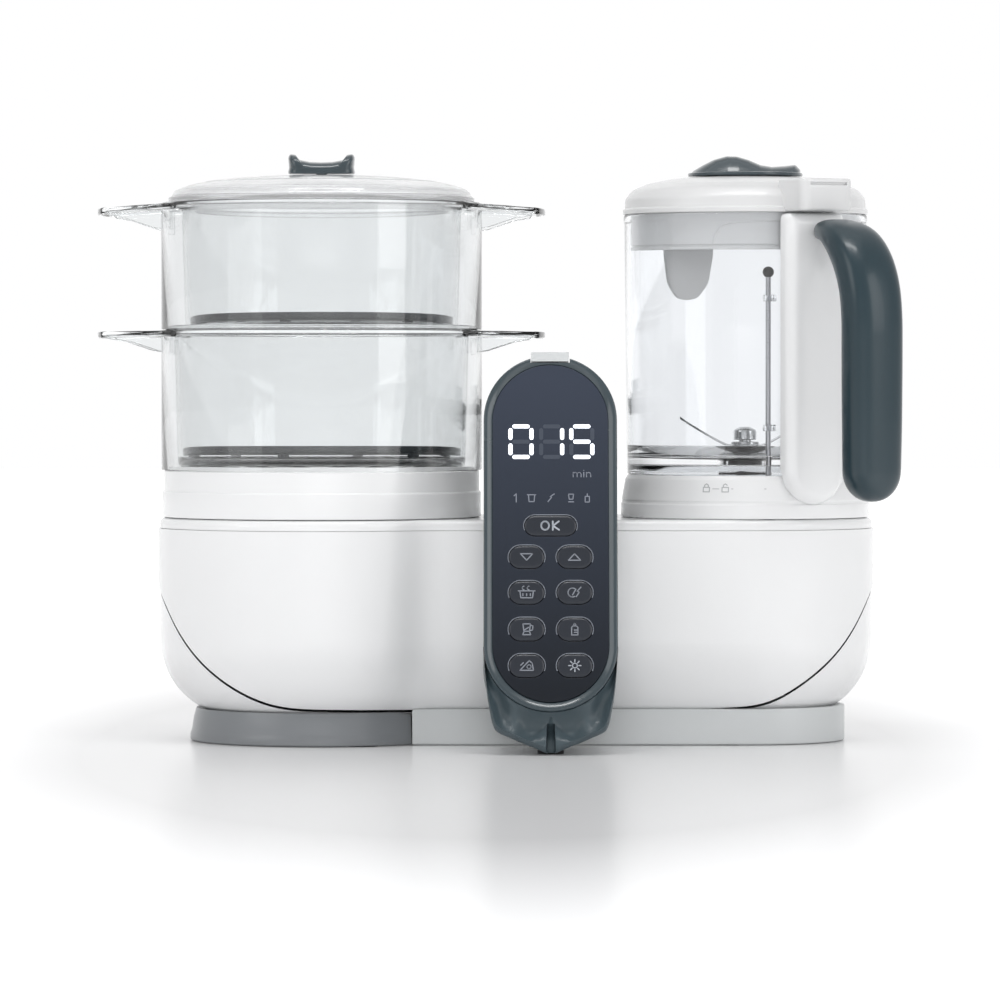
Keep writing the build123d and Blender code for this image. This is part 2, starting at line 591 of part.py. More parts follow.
def make_tank():
    z0 = DECK_Z + 0.4
    tank = Pos(0, 0, z0) * extrude(tank_plan(0), TANK_TOP_Z - z0)
    tank -= Pos(0, 0, z0 + 2.2) * extrude(tank_plan(2.0), 100)
    nose_y = TANK_FRONT_Y + 6
    tank += along_y(4.0, TANK_FRONT_Y - 6, nose_y, (PANEL_X, TANK_PORT_Z))
    tank -= along_y(2.0, TANK_FRONT_Y - 10, nose_y + 9, (PANEL_X, TANK_PORT_Z))
    add("water_tank", tank)
    valve = along_y(1.95, TANK_FRONT_Y - 5.5, nose_y + 1, (PANEL_X, TANK_PORT_Z))
    valve += along_y(3.4, nose_y + 0.2, nose_y + 1.6, (PANEL_X, TANK_PORT_Z))
    add("tank_valve", valve)

    cover = Pos(0, 0, TANK_TOP_Z + 0.1) * extrude(tank_plan(0), 3.4)
    cover += Pos(0, 0, TANK_TOP_Z - 4) * extrude(tank_plan(2.2) - tank_plan(4.0), 5)
    half = 8.6
    tab_y = PANEL_MID_Y + (178.0 - PANEL_MID_Z) * math.tan(LEAN)
    cover += block(PANEL_X - half, PANEL_X + half, CASING_BACK_Y + 0.6, TANK_FRONT_Y + 4, 158, 182.4)
    cover += block(PANEL_X - half, PANEL_X + half, tab_y, TANK_FRONT_Y + 4, 178.2, 182.4)
    cover -= disc(13.3, 150, 200, FILL_AT)
    add("tank_cover", cover)
    top = TANK_TOP_Z + 3.6
    plug = disc(13.0, top - 8, top + 0.1, FILL_AT) + disc(16, top, top + 1.6, FILL_AT)
    x, y = FILL_AT
    plug += block(x - 12, x + 12, y - 2, y + 2, top + 1.5, top + 7)
    add("fill_plug", plug)


# ---- build and write ----------------------------------------------------------------------
def main():
    os.makedirs("parts", exist_ok=True)
    makers = (
        make_shells, make_deck, make_underside, make_panel, make_steamer, make_jar, make_handle,
        make_jar_lid, make_drive, make_interlock, make_heating, make_tank,
    )
    for maker in makers:
        maker()
    for name, shape in PARTS.items():
        export_step(shape, os.path.join("parts", name + ".step"))


main()
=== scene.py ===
import json
from math import acos, atan2, copysign, cos, degrees, dist, exp, hypot, pi, radians, sin, sqrt, tan

import bmesh
import bpy
from mathutils import Matrix, Vector


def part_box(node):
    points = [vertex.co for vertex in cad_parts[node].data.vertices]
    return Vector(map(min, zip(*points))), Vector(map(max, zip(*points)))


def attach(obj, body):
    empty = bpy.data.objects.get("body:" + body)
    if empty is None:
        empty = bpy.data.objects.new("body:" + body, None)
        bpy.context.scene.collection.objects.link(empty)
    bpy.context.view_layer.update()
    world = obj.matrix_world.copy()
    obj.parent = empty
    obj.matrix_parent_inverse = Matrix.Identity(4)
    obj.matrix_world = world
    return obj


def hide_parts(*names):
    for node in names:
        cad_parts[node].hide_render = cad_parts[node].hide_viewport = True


# Baby food maker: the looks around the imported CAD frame. Lengths are in millimetres in the
# frame of the part, and MM turns them into metres. Each profile is written where it is used,
# as (radius, height, rounding) or (x, height, rounding).

MM = 0.001
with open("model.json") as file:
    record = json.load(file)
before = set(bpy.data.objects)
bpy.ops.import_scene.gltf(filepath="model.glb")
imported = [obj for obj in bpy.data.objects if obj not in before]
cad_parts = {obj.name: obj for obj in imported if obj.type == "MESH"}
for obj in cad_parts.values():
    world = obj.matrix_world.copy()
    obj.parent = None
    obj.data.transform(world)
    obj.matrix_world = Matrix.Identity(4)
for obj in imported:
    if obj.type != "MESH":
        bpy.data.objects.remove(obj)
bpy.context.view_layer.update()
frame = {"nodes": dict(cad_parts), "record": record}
NODES = frame["nodes"]


def centre_of(node):
    low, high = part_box(node)
    return (low + high) / 2 / MM


STEAMER = centre_of("juice_bowl").xy
JAR = centre_of("jar_collar").xy
LENS = centre_of("panel_lens")
PANEL_LEAN = radians(15)
HANDLE_TURN = radians(-60)  # direction of the jar handle seen from above
ROD_TURN = radians(-80)  # direction of the interlock rod


# ---- scene and node tools ----
def add_object(name, data):
    obj = bpy.data.objects.new(name, data)
    bpy.context.scene.collection.objects.link(obj)
    return obj


def new_material(name):
    material = bpy.data.materials.new(name)
    material.use_nodes = True
    return material, material.node_tree, material.node_tree.nodes["Principled BSDF"]


def feed(tree, node, inputs):
    """Gives a shader node's inputs their values, or links them to other nodes' outputs."""
    for key, value in inputs.items():
        if isinstance(value, bpy.types.NodeSocket):
            tree.links.new(value, node.inputs[key])
        else:
            node.inputs[key].default_value = value


def add_node(tree, kind, inputs=None):
    node = tree.nodes.new("ShaderNode" + kind)
    feed(tree, node, inputs or {})
    return node


def coordinates(tree, kind="Object"):
    return add_node(tree, "TexCoord").outputs[kind]


def along_axis(tree, vector, axis):
    return add_node(tree, "SeparateXYZ", {"Vector": vector}).outputs[axis]


def map_range(tree, value, source, target=(0.0, 1.0)):
    ends = {"From Min": source[0], "From Max": source[1], "To Min": target[0], "To Max": target[1]}
    return add_node(tree, "MapRange", {"Value": value, **ends}).outputs["Result"]


def ramp(tree, value, stops, interpolation="LINEAR"):
    """Colours along a pattern, from stops of (position, colour)."""
    node = add_node(tree, "ValToRGB", {"Fac": value})
    node.color_ramp.interpolation = interpolation
    for position, colour in stops[1:-1]:
        node.color_ramp.elements.new(position)
    for element, (position, colour) in zip(node.color_ramp.elements, stops):
        element.position = position
        element.color = (*colour, 1.0)
    return node.outputs["Color"]


# ---- camera, light and floor ----
EYE = Vector((2.7, STEAMER.y - 2800.0, 172.0))
AIM_Z = 113.0
FOCAL = 213.8
SENSOR = 36.0
NEAR_AND_FAR = (0.05, 50.0)  # metres
LIGHTS = (  # name, place, height aimed at, size, watts, seen in reflections
    ("key_left", (-1.9, -1.2, 1.2), 0.12, (1.2, 1.2), 6, True),
    ("fill_right", (1.7, -1.3, 0.9), 0.12, (0.9, 1.4), 7, True),
    ("top_soft", (0.0, -0.1, 1.8), 0.1, (1.8, 1.4), 3, True),
    ("top_strip", (0.0, -0.43, 1.5), 0.05, (0.9, 0.16), 5, True),
    ("front_fill", (0.0, -2.3, 0.3), 0.12, (1.1, 0.5), 11, False),
)
WORLD_TONES = ((0.0, 0.56), (0.12, 0.54), (0.3, 0.52), (0.55, 0.5), (0.78, 0.62), (0.94, 1.0))
FLOOR_CORNERS = [(-8, -8, 0), (8, -8, 0), (8, 8, 0), (-8, 8, 0)]


def make_camera():
    data = bpy.data.cameras.new("camera")
    camera = add_object("camera", data)
    bpy.context.scene.camera = camera
    camera.location = EYE * MM
    aim = Vector((EYE.x, STEAMER.y, AIM_Z))
    camera.rotation_euler = (aim - EYE).to_track_quat("-Z", "Y").to_euler()
    data.sensor_width = SENSOR
    data.lens = FOCAL
    data.clip_start, data.clip_end = NEAR_AND_FAR


def make_lights():
    for name, place, aim_z, size, power, mirrored in LIGHTS:
        data = bpy.data.lights.new(name, "AREA")
        data.shape = "RECTANGLE"
        data.size, data.size_y = size
        data.energy = power
        light = add_object(name, data)
        light.location = place
        towards = Vector((0, 0, aim_z)) - Vector(place)
        light.rotation_euler = towards.to_track_quat("-Z", "Y").to_euler()
        light.visible_glossy = mirrored
        light.visible_transmission = mirrored


def make_world():
    """Surroundings that go from grey on the camera's side to white behind the object."""
    bpy.context.scene.view_settings.view_transform = "Standard"
    world = bpy.data.worlds.new("studio")
    bpy.context.scene.world = world
    world.use_nodes = True
    tree = world.node_tree
    depth = map_range(tree, along_axis(tree, coordinates(tree, "Generated"), "Y"), (-1.0, 1.0))
    stops = [(position, (tone, tone, tone * 1.005)) for position, tone in WORLD_TONES]
    feed(tree, tree.nodes["Background"], {"Color": ramp(tree, depth, stops, "EASE"), "Strength": 1.0})


def make_floor():
    """Pale satin table that glows towards white away from the object."""
    mesh = bpy.data.meshes.new("studio_floor")
    mesh.from_pydata(FLOOR_CORNERS, [], [(0, 1, 2, 3)])
    floor = add_object("studio_floor", mesh)
    material, tree, shader = new_material("studio_white")
    reach = add_node(tree, "VectorMath", {0: stretched(tree, (1.0, 0.33, 1.0))})
    reach.operation = "LENGTH"
    feed(tree, shader, {
        "Base Color": (0.80, 0.80, 0.805, 1.0),
        "Roughness": 0.24,
        "Specular IOR Level": 0.3,
        "Emission Color": (1.0, 1.0, 1.0, 1.0),
        "Emission Strength": map_range(tree, reach.outputs["Value"], (0.19, 0.32), (0.04, 0.46)),
    })
    mesh.materials.append(material)


# ---- materials ----
def stretched(tree, scale):
    """Object coordinates, stretched or squeezed along the axes."""
    return add_node(tree, "Mapping", {"Vector": coordinates(tree), "Scale": scale}).outputs["Vector"]


def noise(tree, scale, detail=3.0, vector=None):
    """A noise pattern in object coordinates, so it stays with the piece."""
    inputs = {"Vector": vector or coordinates(tree), "Scale": scale, "Detail": detail}
    return add_node(tree, "TexNoise", inputs).outputs["Fac"]


def spread(tree, value, low, high):
    """Maps the middle of a pattern onto the range from low to high."""
    return map_range(tree, value, (0.2, 0.8), (low, high))


def two_tone(tree, value, first, second):
    return ramp(tree, value, ((0.2, first), (0.8, second)))


def bump(tree, shader, value, strength, distance):
    node = add_node(tree, "Bump", {"Height": value, "Strength": strength, "Distance": distance})
    feed(tree, shader, {"Normal": node.outputs["Normal"]})


def shade(colour, factor):
    return tuple(min(1.0, c * factor) for c in colour)


def moulded(name, colour, rough, grain=0.0, coat=0.0, vary=0.03):
    """Injection-moulded plastic: faint tone drift, uneven gloss and a fine moulded texture."""
    material, tree, shader = new_material(name)
    feed(tree, shader, {
        "Base Color": two_tone(tree, noise(tree, 14.0), shade(colour, 1 - vary), shade(colour, 1 + vary)),
        "Roughness": spread(tree, noise(tree, 60.0, 4.0), rough * 0.93, rough * 1.07),
        "Coat Weight": coat,
        "Coat Roughness": 0.08,
    })
    if grain > 0:
        bump(tree, shader, noise(tree, 2200.0, 2.0), grain, 0.00006)
    return material


def window(name, top, bottom):
    """Tinted gloss window, deeper in tone towards its foot."""
    material, tree, shader = new_material(name)
    height = map_range(tree, along_axis(tree, coordinates(tree), "Z"), (0.03, 0.17))
    feed(tree, shader, {
        "Base Color": ramp(tree, height, ((0.0, bottom), (1.0, top))),
        "Roughness": spread(tree, noise(tree, 50.0), 0.12, 0.2),
        "Specular IOR Level": 0.3,
    })
    return material


def clear(name, colour, rough=0.015, through=1.0):
    """Clear moulded plastic with very faint flow unevenness."""
    material, tree, shader = new_material(name)
    feed(tree, shader, {
        "Base Color": two_tone(tree, noise(tree, 9.0), shade(colour, 0.99), colour),
        "Roughness": spread(tree, noise(tree, 40.0), rough * 0.6, rough * 1.8),
        "Transmission Weight": through,
        "IOR": 1.46,
    })
    return material


def metal(name, colour, rough, stretch=(1.0, 1.0, 30.0)):
    """Steel with fine turning or grinding marks."""
    material, tree, shader = new_material(name)
    lines = noise(tree, 180.0, 4.0, stretched(tree, stretch))
    feed(tree, shader, {
        "Base Color": two_tone(tree, lines, shade(colour, 0.9), shade(colour, 1.05)),
        "Roughness": spread(tree, lines, rough * 0.8, rough * 1.25),
        "Metallic": 1.0,
    })
    bump(tree, shader, lines, 0.15, 0.00004)
    return material


def glowing(name, colour, strength):
    """Lit display element, with its light slightly uneven along the segment."""
    material, tree, shader = new_material(name)
    tone = two_tone(tree, noise(tree, 420.0), shade(colour, 0.82), colour)
    feed(tree, shader, {
        "Base Color": tone, "Emission Color": tone, "Emission Strength": strength, "Roughness": 0.4,
    })
    return material


MATERIALS = {
    "white_gloss": moulded("white_gloss_plastic", (0.86, 0.865, 0.87), 0.22, coat=0.25, vary=0.01),
    # Darker copy of the white gloss for the jar lid: painted shade.
    "white_lid_painted_shade": moulded("white_lid_painted_shade_plastic", (0.70, 0.703, 0.706), 0.25, coat=0.2, vary=0.01),
    "light_grey_plastic": moulded("light_grey_satin", (0.62, 0.64, 0.645), 0.35, grain=0.1),
    "grey_plastic": moulded("grey_satin", (0.24, 0.252, 0.265), 0.30, grain=0.1),
    "slate_plastic": moulded("slate_satin", (0.034, 0.053, 0.064), 0.26, grain=0.03, coat=0.7),
    # Lighter, softer copy of the slate plastic for the panel foot: painted light.
    "slate_soft_painted_light": moulded("slate_soft_painted_light_gloss", (0.056, 0.080, 0.093), 0.40, grain=0.04, coat=0.08),
    # Darker copy of the slate plastic for the jar grip: painted shade.
    "slate_grip_painted_shade": moulded("slate_grip_painted_shade_satin", (0.014, 0.034, 0.045), 0.30, grain=0.04, coat=0.2),
    "panel_gloss": window("tinted_window", (0.042, 0.052, 0.076), (0.011, 0.014, 0.020)),
    "display": moulded("display_black", (0.010, 0.011, 0.014), 0.2),
    "key_plastic": moulded("key_gloss", (0.020, 0.024, 0.033), 0.24, vary=0.08),
    "circuit_board": moulded("solder_mask", (0.02, 0.12, 0.05), 0.4, grain=0.1, vary=0.2),
    "clear_plastic": clear("clear_plastic", (0.957, 0.967, 0.970)),
    "jar_clear": clear("clear_plastic_jar", (0.950, 0.962, 0.976)),
    # Milkier copy of the clear plastic for the steamer lid: part of the light passes diffusely.
    "lid_clear": clear("clear_plastic_hazy", (0.955, 0.96, 0.965), 0.13, 0.83),
    "tray_plastic": moulded("tray_dark_satin", (0.016, 0.020, 0.023), 0.42, grain=0.15, vary=0.08),
    "black_plastic": moulded("black_satin", (0.016, 0.014, 0.013), 0.35, grain=0.15, vary=0.1),
    "silicone": moulded("soft_silicone", (0.62, 0.63, 0.64), 0.55, grain=0.1),
    "rubber": moulded("dark_rubber", (0.018, 0.018, 0.019), 0.8, grain=0.4, vary=0.15),
    "steel": metal("plated_steel", (0.55, 0.55, 0.57), 0.3),
    "blade_steel": metal("ground_steel", (0.66, 0.67, 0.68), 0.2, (1.0, 30.0, 1.0)),
    "pan_steel": metal("spun_steel", (0.62, 0.62, 0.62), 0.25),
    "lit_segment": glowing("lit_segment", (0.86, 0.90, 0.98), 1.1),
    "lit_symbol": glowing("lit_symbol_dim", (0.24, 0.26, 0.31), 0.12),
    "unlit_segment": moulded("unlit_segment", (0.058, 0.070, 0.095), 0.3),
    "printed_mark": moulded("printed_mark", (0.25, 0.27, 0.31), 0.4),
    "moulded_mark": moulded("printed_collar_mark", (0.42, 0.43, 0.44), 0.45),
    "lit_legend": glowing("lit_legend", (0.42, 0.45, 0.50), 0.12),
    # Lighter line along the top of each key's rim: a painted highlight.
    "painted_rim_highlight": moulded("painted_rim_highlight", (0.22, 0.24, 0.28), 0.35),
}


def dress_cad():
    """Every carried-over CAD node gets its finish and smooth shading."""
    slots = {row["node"]: row["material_slot"] for row in frame["record"]["subparts"]}
    for name, node in NODES.items():
        node.data.materials.clear()
        node.data.materials.append(MATERIALS[slots[name]])
        for polygon in node.data.polygons:
            polygon.use_smooth = True
            polygon.material_index = 0


# ---- mesh tools ----
def soften(points, radius, steps=4):
    """Closed outline with rounded corners. A point may bring its own radius as a third number."""
    rounded = []
    for i, point in enumerate(points):
        own = point[2] if len(point) > 2 else radius
        here = Vector(point[:2])
        back = Vector(points[i - 1][:2]) - here
        ahead = Vector(points[(i + 1) % len(points)][:2]) - here
        angle = back.angle(ahead)
        if own <= 0 or angle > radians(174):
            rounded.append(here)
            continue
        reach = min(own / tan(angle / 2), 0.48 * back.length, 0.48 * ahead.length)
        first = here + back.normalized() * reach
        last = here + ahead.normalized() * reach
        for k in range(steps + 1):
            s = k / steps
            rounded.append(first.lerp(here, s).lerp(here.lerp(last, s), s))
    return rounded


def grow(points, distance):
    """Moves a counterclockwise closed outline outwards."""
    moved = []
    for i, point in enumerate(points):
        before = (Vector(point) - Vector(points[i - 1])).normalized()
        after = (Vector(points[(i + 1) % len(points)]) - Vector(point)).normalized()
        along = (before + after).normalized()
        normal = Vector((along.y, -along.x))
        moved.append(Vector(point) + normal * distance / max(0.4, along.dot(after)))
    return moved


def on_circle(centre, radius, angle):
    return Vector((centre[0] + radius * cos(angle), centre[1] + radius * sin(angle)))


def on_tube(centre, radius, angle, z):
    return on_circle(centre, radius, angle).to_3d() + Vector((0, 0, z))


def full_turn(count):
    """Angles of equal steps round a circle."""
    return [2 * pi * k / count for k in range(count)]


def quarter(count):
    """Angles from 0 to 90 degrees in equal steps, both ends included."""
    return [pi / 2 * k / count for k in range(count + 1)]


def circle(radius, centre=(0, 0), count=48):
    return [on_circle(centre, radius, a) for a in full_turn(count)]


def sweep_arc(centre, radius, start, turn, count):
    return [on_circle(centre, radius, radians(start + turn * k / count)) for k in range(count + 1)]


def pill(width, height, centre=(0, 0), count=24):
    """Stadium outline, counterclockwise, standing or lying."""
    radius = min(width, height) / 2
    dx = width / 2 - radius
    dy = height / 2 - radius
    points = []
    for x, y, start in ((dx, dy, 0), (-dx, dy, 90), (-dx, -dy, 180), (dx, -dy, 270)):
        points += sweep_arc((centre[0] + x, centre[1] + y), radius, start, 90, count // 2)
    return points


def skin(bm, rings, loop=False, caps=True):
    """Faces through closed rings of equal length; loop joins the last ring to the first."""
    rows = [[bm.verts.new(point) for point in ring] for ring in rings]
    spans = list(zip(rows, rows[1:]))
    if loop:
        spans.append((rows[-1], rows[0]))
    count = len(rows[0])
    for low, high in spans:
        for i in range(count):
            j = (i + 1) % count
            bm.faces.new((low[i], low[j], high[j], high[i]))
    if caps and not loop:
        bm.faces.new(rows[0][::-1])
        bm.faces.new(rows[-1])
    return rows


def skinned(rings):
    bm = bmesh.new()
    skin(bm, rings)
    return bm


def lathe(bm, outline, centre, steps=144):
    """Turns a closed (radius, height) outline about a vertical axis."""
    skin(bm, [[on_tube(centre, r, a, z) for r, z in outline] for a in full_turn(steps)], loop=True)


def turned(outline, radius, centre, steps=144):
    """A new mesh of one outline, softened and turned about a vertical axis."""
    bm = bmesh.new()
    lathe(bm, soften(outline, radius), centre, steps)
    return bm


def edge_levels(low, high, bevel, steps=3):
    """(inset, height) steps of a slab with rounded edges."""
    lower = [(bevel * (1 - sin(a)), low + bevel * (1 - cos(a))) for a in quarter(steps)]
    return lower + [(inset, low + high - z) for inset, z in reversed(lower)]


def flat(x, y, z):
    return Vector((x, y, z))


def placed(points, z, place=flat):
    return [place(p.x, p.y, z) for p in points]


def slab(bm, outline, low, high, bevel, place=flat, holes=()):
    """Plate with rounded edges and holes; place maps flat points into the row frame."""
    caps = ([], [])
    for loop, sign in [(outline, -1)] + [(hole, 1) for hole in holes]:
        levels = edge_levels(low, high, bevel)
        rows = skin(bm, [placed(grow(loop, sign * inset), z, place) for inset, z in levels], caps=False)
        caps[0].append(rows[0])
        caps[1].append(rows[-1])
    for loops in caps:
        if not holes:
            bm.faces.new(loops[0])
            continue
        edges = []
        for row in loops:
            for i, vert in enumerate(row):
                edges.append(bm.edges.get((vert, row[(i + 1) % len(row)])))
        bmesh.ops.triangle_fill(bm, use_beauty=True, use_dissolve=False, edges=edges)


def cut(bm, cutters):
    """Takes closed meshes out of a closed mesh, all drawn in millimetres."""
    holder = add_object("blank", to_mesh("blank", bm))
    tools = [add_object("cutter", to_mesh("cutter", cutter)) for cutter in cutters]
    for tool in tools:
        change = holder.modifiers.new("cut", "BOOLEAN")
        change.operation = "DIFFERENCE"
        change.solver = "EXACT"
        change.object = tool
    bpy.context.view_layer.update()
    solved = holder.evaluated_get(bpy.context.evaluated_depsgraph_get())
    mesh = bpy.data.meshes.new_from_object(solved)
    for item in tools + [holder]:
        bpy.data.objects.remove(item)
    result = bmesh.new()
    result.from_mesh(mesh)
    return result


def to_mesh(name, bm):
    """Cleans a mesh under construction and hands it over."""
    bmesh.ops.remove_doubles(bm, verts=bm.verts, dist=0.002)
    bmesh.ops.dissolve_degenerate(bm, edges=bm.edges, dist=0.001)
    bmesh.ops.recalc_face_normals(bm, faces=bm.faces)
    mesh = bpy.data.meshes.new(name)
    bm.to_mesh(mesh)
    bm.free()
    return mesh


def piece(name, bm, body, finish, nodes=(), look=None, sharp=34):
    """Closes a mesh drawn in millimetres into a named object that rides on a CAD body.

    The finish is the CAD slot; look names another material where the finish alone isn't enough.
    """
    mesh = to_mesh(name, bm)
    mesh.transform(Matrix.Scale(MM, 4))
    obj = add_object(name, mesh)
    mesh.materials.append(MATERIALS[look or finish])
    for polygon in mesh.polygons:
        polygon.use_smooth = True
    mesh.set_sharp_from_angle(angle=radians(sharp))
    obj.visible_shadow = finish != "clear_plastic"
    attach(obj, body)
    if nodes:
        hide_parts(*nodes)
    return obj


def box_cutter(x0, x1, y0, y1, z0, z1, place=flat):
    corners = ((x0, y0), (x1, y0), (x1, y1), (x0, y1))
    return skinned([[place(x, y, z) for x, y in corners] for z in (z0, z1)])


def round_cutter(radius, x, y, z0, z1):
    return skinned([placed(circle(radius, (x, y), 40), z) for z in (z0, z1)])


def smooth_path(stations, per_span):
    """Catmull-Rom interpolation through rows of numbers."""
    rows = []
    padded = stations[:1] + stations + stations[-1:]
    for span in zip(padded, padded[1:], padded[2:], padded[3:]):
        for k in range(per_span):
            t = k / per_span
            rows.append([
                0.5 * (2 * b + (c - a) * t + (2 * a - 5 * b + 4 * c - d) * t * t
                       + (3 * b - a - 3 * c + d) * t ** 3)
                for a, b, c, d in zip(*span)
            ])
    rows.append(list(stations[-1]))
    return rows


def headings(rows):
    """Direction of a path at each of its points, seen in its first two numbers."""
    pairs = zip(rows[:1] + rows, rows[1:] + rows[-1:])
    return [Vector((b[0] - a[0], b[1] - a[1])).normalized() for a, b in pairs]


def local_at(angle, centre):
    """Maps a point drawn along +X from an axis to the direction of angle around that axis."""
    turn = Matrix.Translation((centre[0], centre[1], 0)) @ Matrix.Rotation(angle, 4, "Z")
    return lambda x, y, z: turn @ Vector((x, y, z))


at_steamer = local_at(0, STEAMER)
at_handle = local_at(HANDLE_TURN, JAR)
at_rod = local_at(ROD_TURN, JAR)


# ---- steamer tower ----
WING_R = 105.3
SADDLE_Z = 266.4  # foot of the steamer lid's handle


def make_bowl():
    outline = [
        (75, 105.3, 0.8), (75, 117, 1), (74.2, 117.6, 0.2), (74.2, 127, 0.9), (73.2, 127.1, 0.2),
        (73.2, 129.5, 0.6), (71.6, 129.5, 0.6), (71.6, 113, 3), (69, 110.8, 2), (11, 108.8, 2),
        (11, 124, 1), (8.8, 124, 1), (8.8, 106.8, 0.8), (68, 108.6, 0.5), (72.6, 108.6, 0.5),
        (72.6, 105.3, 0.5),
    ]
    piece("juice_bowl_shell", turned(outline, 0.5, STEAMER), "bowl", "white_gloss", ["juice_bowl"])


def wing_plan(side):
    """Plan of one side grip, counterclockwise."""
    tip = sweep_arc((0, 0), WING_R, -14.5, 29, 10)
    tip = [(*p, 9 if k in (0, 1, 9, 10) else 0) for k, p in enumerate(tip)]
    outline = [(66, -33.5, 0), (82, -28.5, 14)] + tip + [(82, 28.5, 14), (66, 33.5, 0)]
    points = soften(outline, 6, 6)
    if side < 0:
        points = [Vector((-p.x, p.y)) for p in reversed(points)]
    return points


def add_wings(bm, top_z, tip_z, root_z):
    for side in (-1, 1):
        outline = wing_plan(side)

        def place(x, y, z):
            slope = (tip_z + 1.2 - top_z) * (abs(x) - 60) / (WING_R - 60)
            return at_steamer(x, y, top_z + slope + z)

        profile = [
            (3, -1.7), (2.2, -2), (1.6, -3), (0.5, -3.1), (0, -2.6), (0, -0.6), (0.2, -0.15),
            (0.7, 0),
        ]
        skin(bm, [placed(grow(outline, -inset), z, place) for inset, z in profile])
        rib = [
            (73.6, top_z - 1.8), (99, tip_z - 0.9), (98, tip_z - 2), (91, tip_z - 3.1),
            (84, root_z + 2.6), (78, root_z + 0.6), (73.6, root_z),
        ]
        for y in (-24.5, 24.5):
            ring = [Vector((side * x, z)) for x, z in rib]
            if side < 0:
                ring.reverse()
            levels = edge_levels(y - 0.8, y + 0.8, 0.4, 2)
            skin(bm, [[at_steamer(p.x, w, p.y) for p in grow(ring, -inset)] for inset, w in levels])


def hole_rings(rows, radius, sides, staggered=False):
    """Rings of round holes about the middle; rows are (ring radius, number of holes)."""
    holes = []
    for ring_r, count in rows:
        shift = 0.5 if staggered and count % 4 == 0 else 0.0
        for k in range(count):
            holes.append(circle(radius, on_circle((0, 0), ring_r, 2 * pi * (k + shift) / count), sides))
    return holes


def make_basket(name, node, body, bottom_z, top_z, cup_r, floor_z, tip_z, root_z, lip):
    outline = [(75.5, bottom_z, 0.5), (75.5, top_z, 1.3)]
    if lip:
        lip_z = top_z + 2.5
        outline += [(73.2, top_z, 0.2), (73.2, lip_z, 0.6), (71.8, lip_z, 0.6), (71.8, top_z, 0.2)]
    outline += [
        (cup_r + 1.2, top_z, 1.6), (cup_r, floor_z, 3), (60, floor_z, 0), (60, floor_z - 1.8, 0),
        (cup_r + 1.6, floor_z - 1.8, 3.5), (cup_r + 2.9, top_z - 1.8, 1), (73.6, top_z - 1.8, 1),
        (73.6, bottom_z, 0.5),
    ]
    bm = turned(outline, 0.5, STEAMER)
    holes = hole_rings(((16, 6), (34, 12), (52, 18)), 3, 20)
    slab(bm, circle(59.9, count=96), floor_z - 1.8, floor_z, 0.35, at_steamer, holes)
    add_wings(bm, top_z, tip_z, root_z)
    piece(name, bm, body, "clear_plastic", [node])


def make_tray(name, node, body, radius, z, foot_z):
    outline = [
        (radius - 8, z, 0), (radius, z, 1.2), (radius + 0.3, z + 3.4, 0.7), (radius - 1.3, z + 3.4, 0.6),
        (radius - 1.8, z + 1.5, 1.2), (radius - 8, z + 1.5, 0),
    ]
    bm = turned(outline, 0.5, STEAMER, 120)
    holes = hole_rings(((12, 6), (25, 12), (38, 18), (50, 24)), 2.2, 16, staggered=True)
    slab(bm, circle(radius - 8.1, count=96), z, z + 1.5, 0.3, at_steamer, holes)
    for k in range(6):
        spot = on_circle(STEAMER, radius - 4.5, radians(15 + 60 * k))
        slab(bm, circle(2.6, spot, 20), foot_z, z + 0.4, 0.6)
    piece(name, bm, body, "tray_plastic", [node])


def make_steamer_lid():
    def arch(radius, edge, top):
        rise = top - edge
        return [(max(0, radius * cos(a)), edge + rise * sin(a) ** 0.92, 0) for a in quarter(14)]

    top = arch(70.2, 256.4, 266)
    under = arch(67.6, 254.9, 264.2)
    outline = [
        (60.4, 253.8, 0.4), (60.4, 248.8, 0.5), (62.2, 248.8, 0.5), (62.2, 253.4, 0.6), (72, 253.3, 0.5),
        (72, 255.4, 0.9), (70.8, 255.7, 0.3),
    ]
    bm = turned(outline + top + under[::-1], 0.4, STEAMER)
    rings = [soften([(r - 0.8, z - 0.9), (r + 0.8, z - 1.2), (r + 0.7, z + 0.5), (r - 0.7, z + 0.9)], 0.5)
             for r, z in ((66.2, 258.4), (54, 262.3))]
    holes = [round_cutter(2.5, STEAMER.x + side * 30, STEAMER.y, 250, 270) for side in (-1, 1)]
    holes.append(round_cutter(2.6, STEAMER.x, STEAMER.y, 250, 270))
    bm = cut(bm, holes)
    for ring in rings:
        lathe(bm, ring, STEAMER)
    piece("steamer_lid_dome", bm, "tower_lid", "clear_plastic", ["steamer_lid"], look="lid_clear")


def make_lid_saddle():
    right = [
        (15.9, SADDLE_Z, 1), (15.3, 269.5, 3), (15.7, 274.2, 2), (14.9, 275.9, 1.2), (12.2, 275.6, 1.4),
        (10.4, 273.2, 1.8), (5.5, 272.2, 4), (0, 272, 6),
    ]
    saddle = [(-15.9, SADDLE_Z, 1)] + right + [(-x, z, radius) for x, z, radius in right[-2:0:-1]]
    outline = soften(saddle, 1, 5)
    rings = []
    for k in range(25):
        s = -1 + 2 * k / 24
        bulge = sqrt(max(0, 1 - abs(s) ** 3.2))
        wide = 0.72 + 0.28 * bulge
        tall = 0.35 + 0.65 * bulge
        rings.append([at_steamer(p.x * wide, 12 * s, SADDLE_Z + (p.y - SADDLE_Z) * tall) for p in outline])
    bm = skinned(rings)
    slab(bm, circle(2.5, STEAMER, 32), 262.5, 267, 0.2)
    slab(bm, circle(4.2, STEAMER, 32), 260.9, 263.9, 0.5)
    piece("lid_saddle", bm, "tower_lid", "slate_plastic", ["lid_handle"])


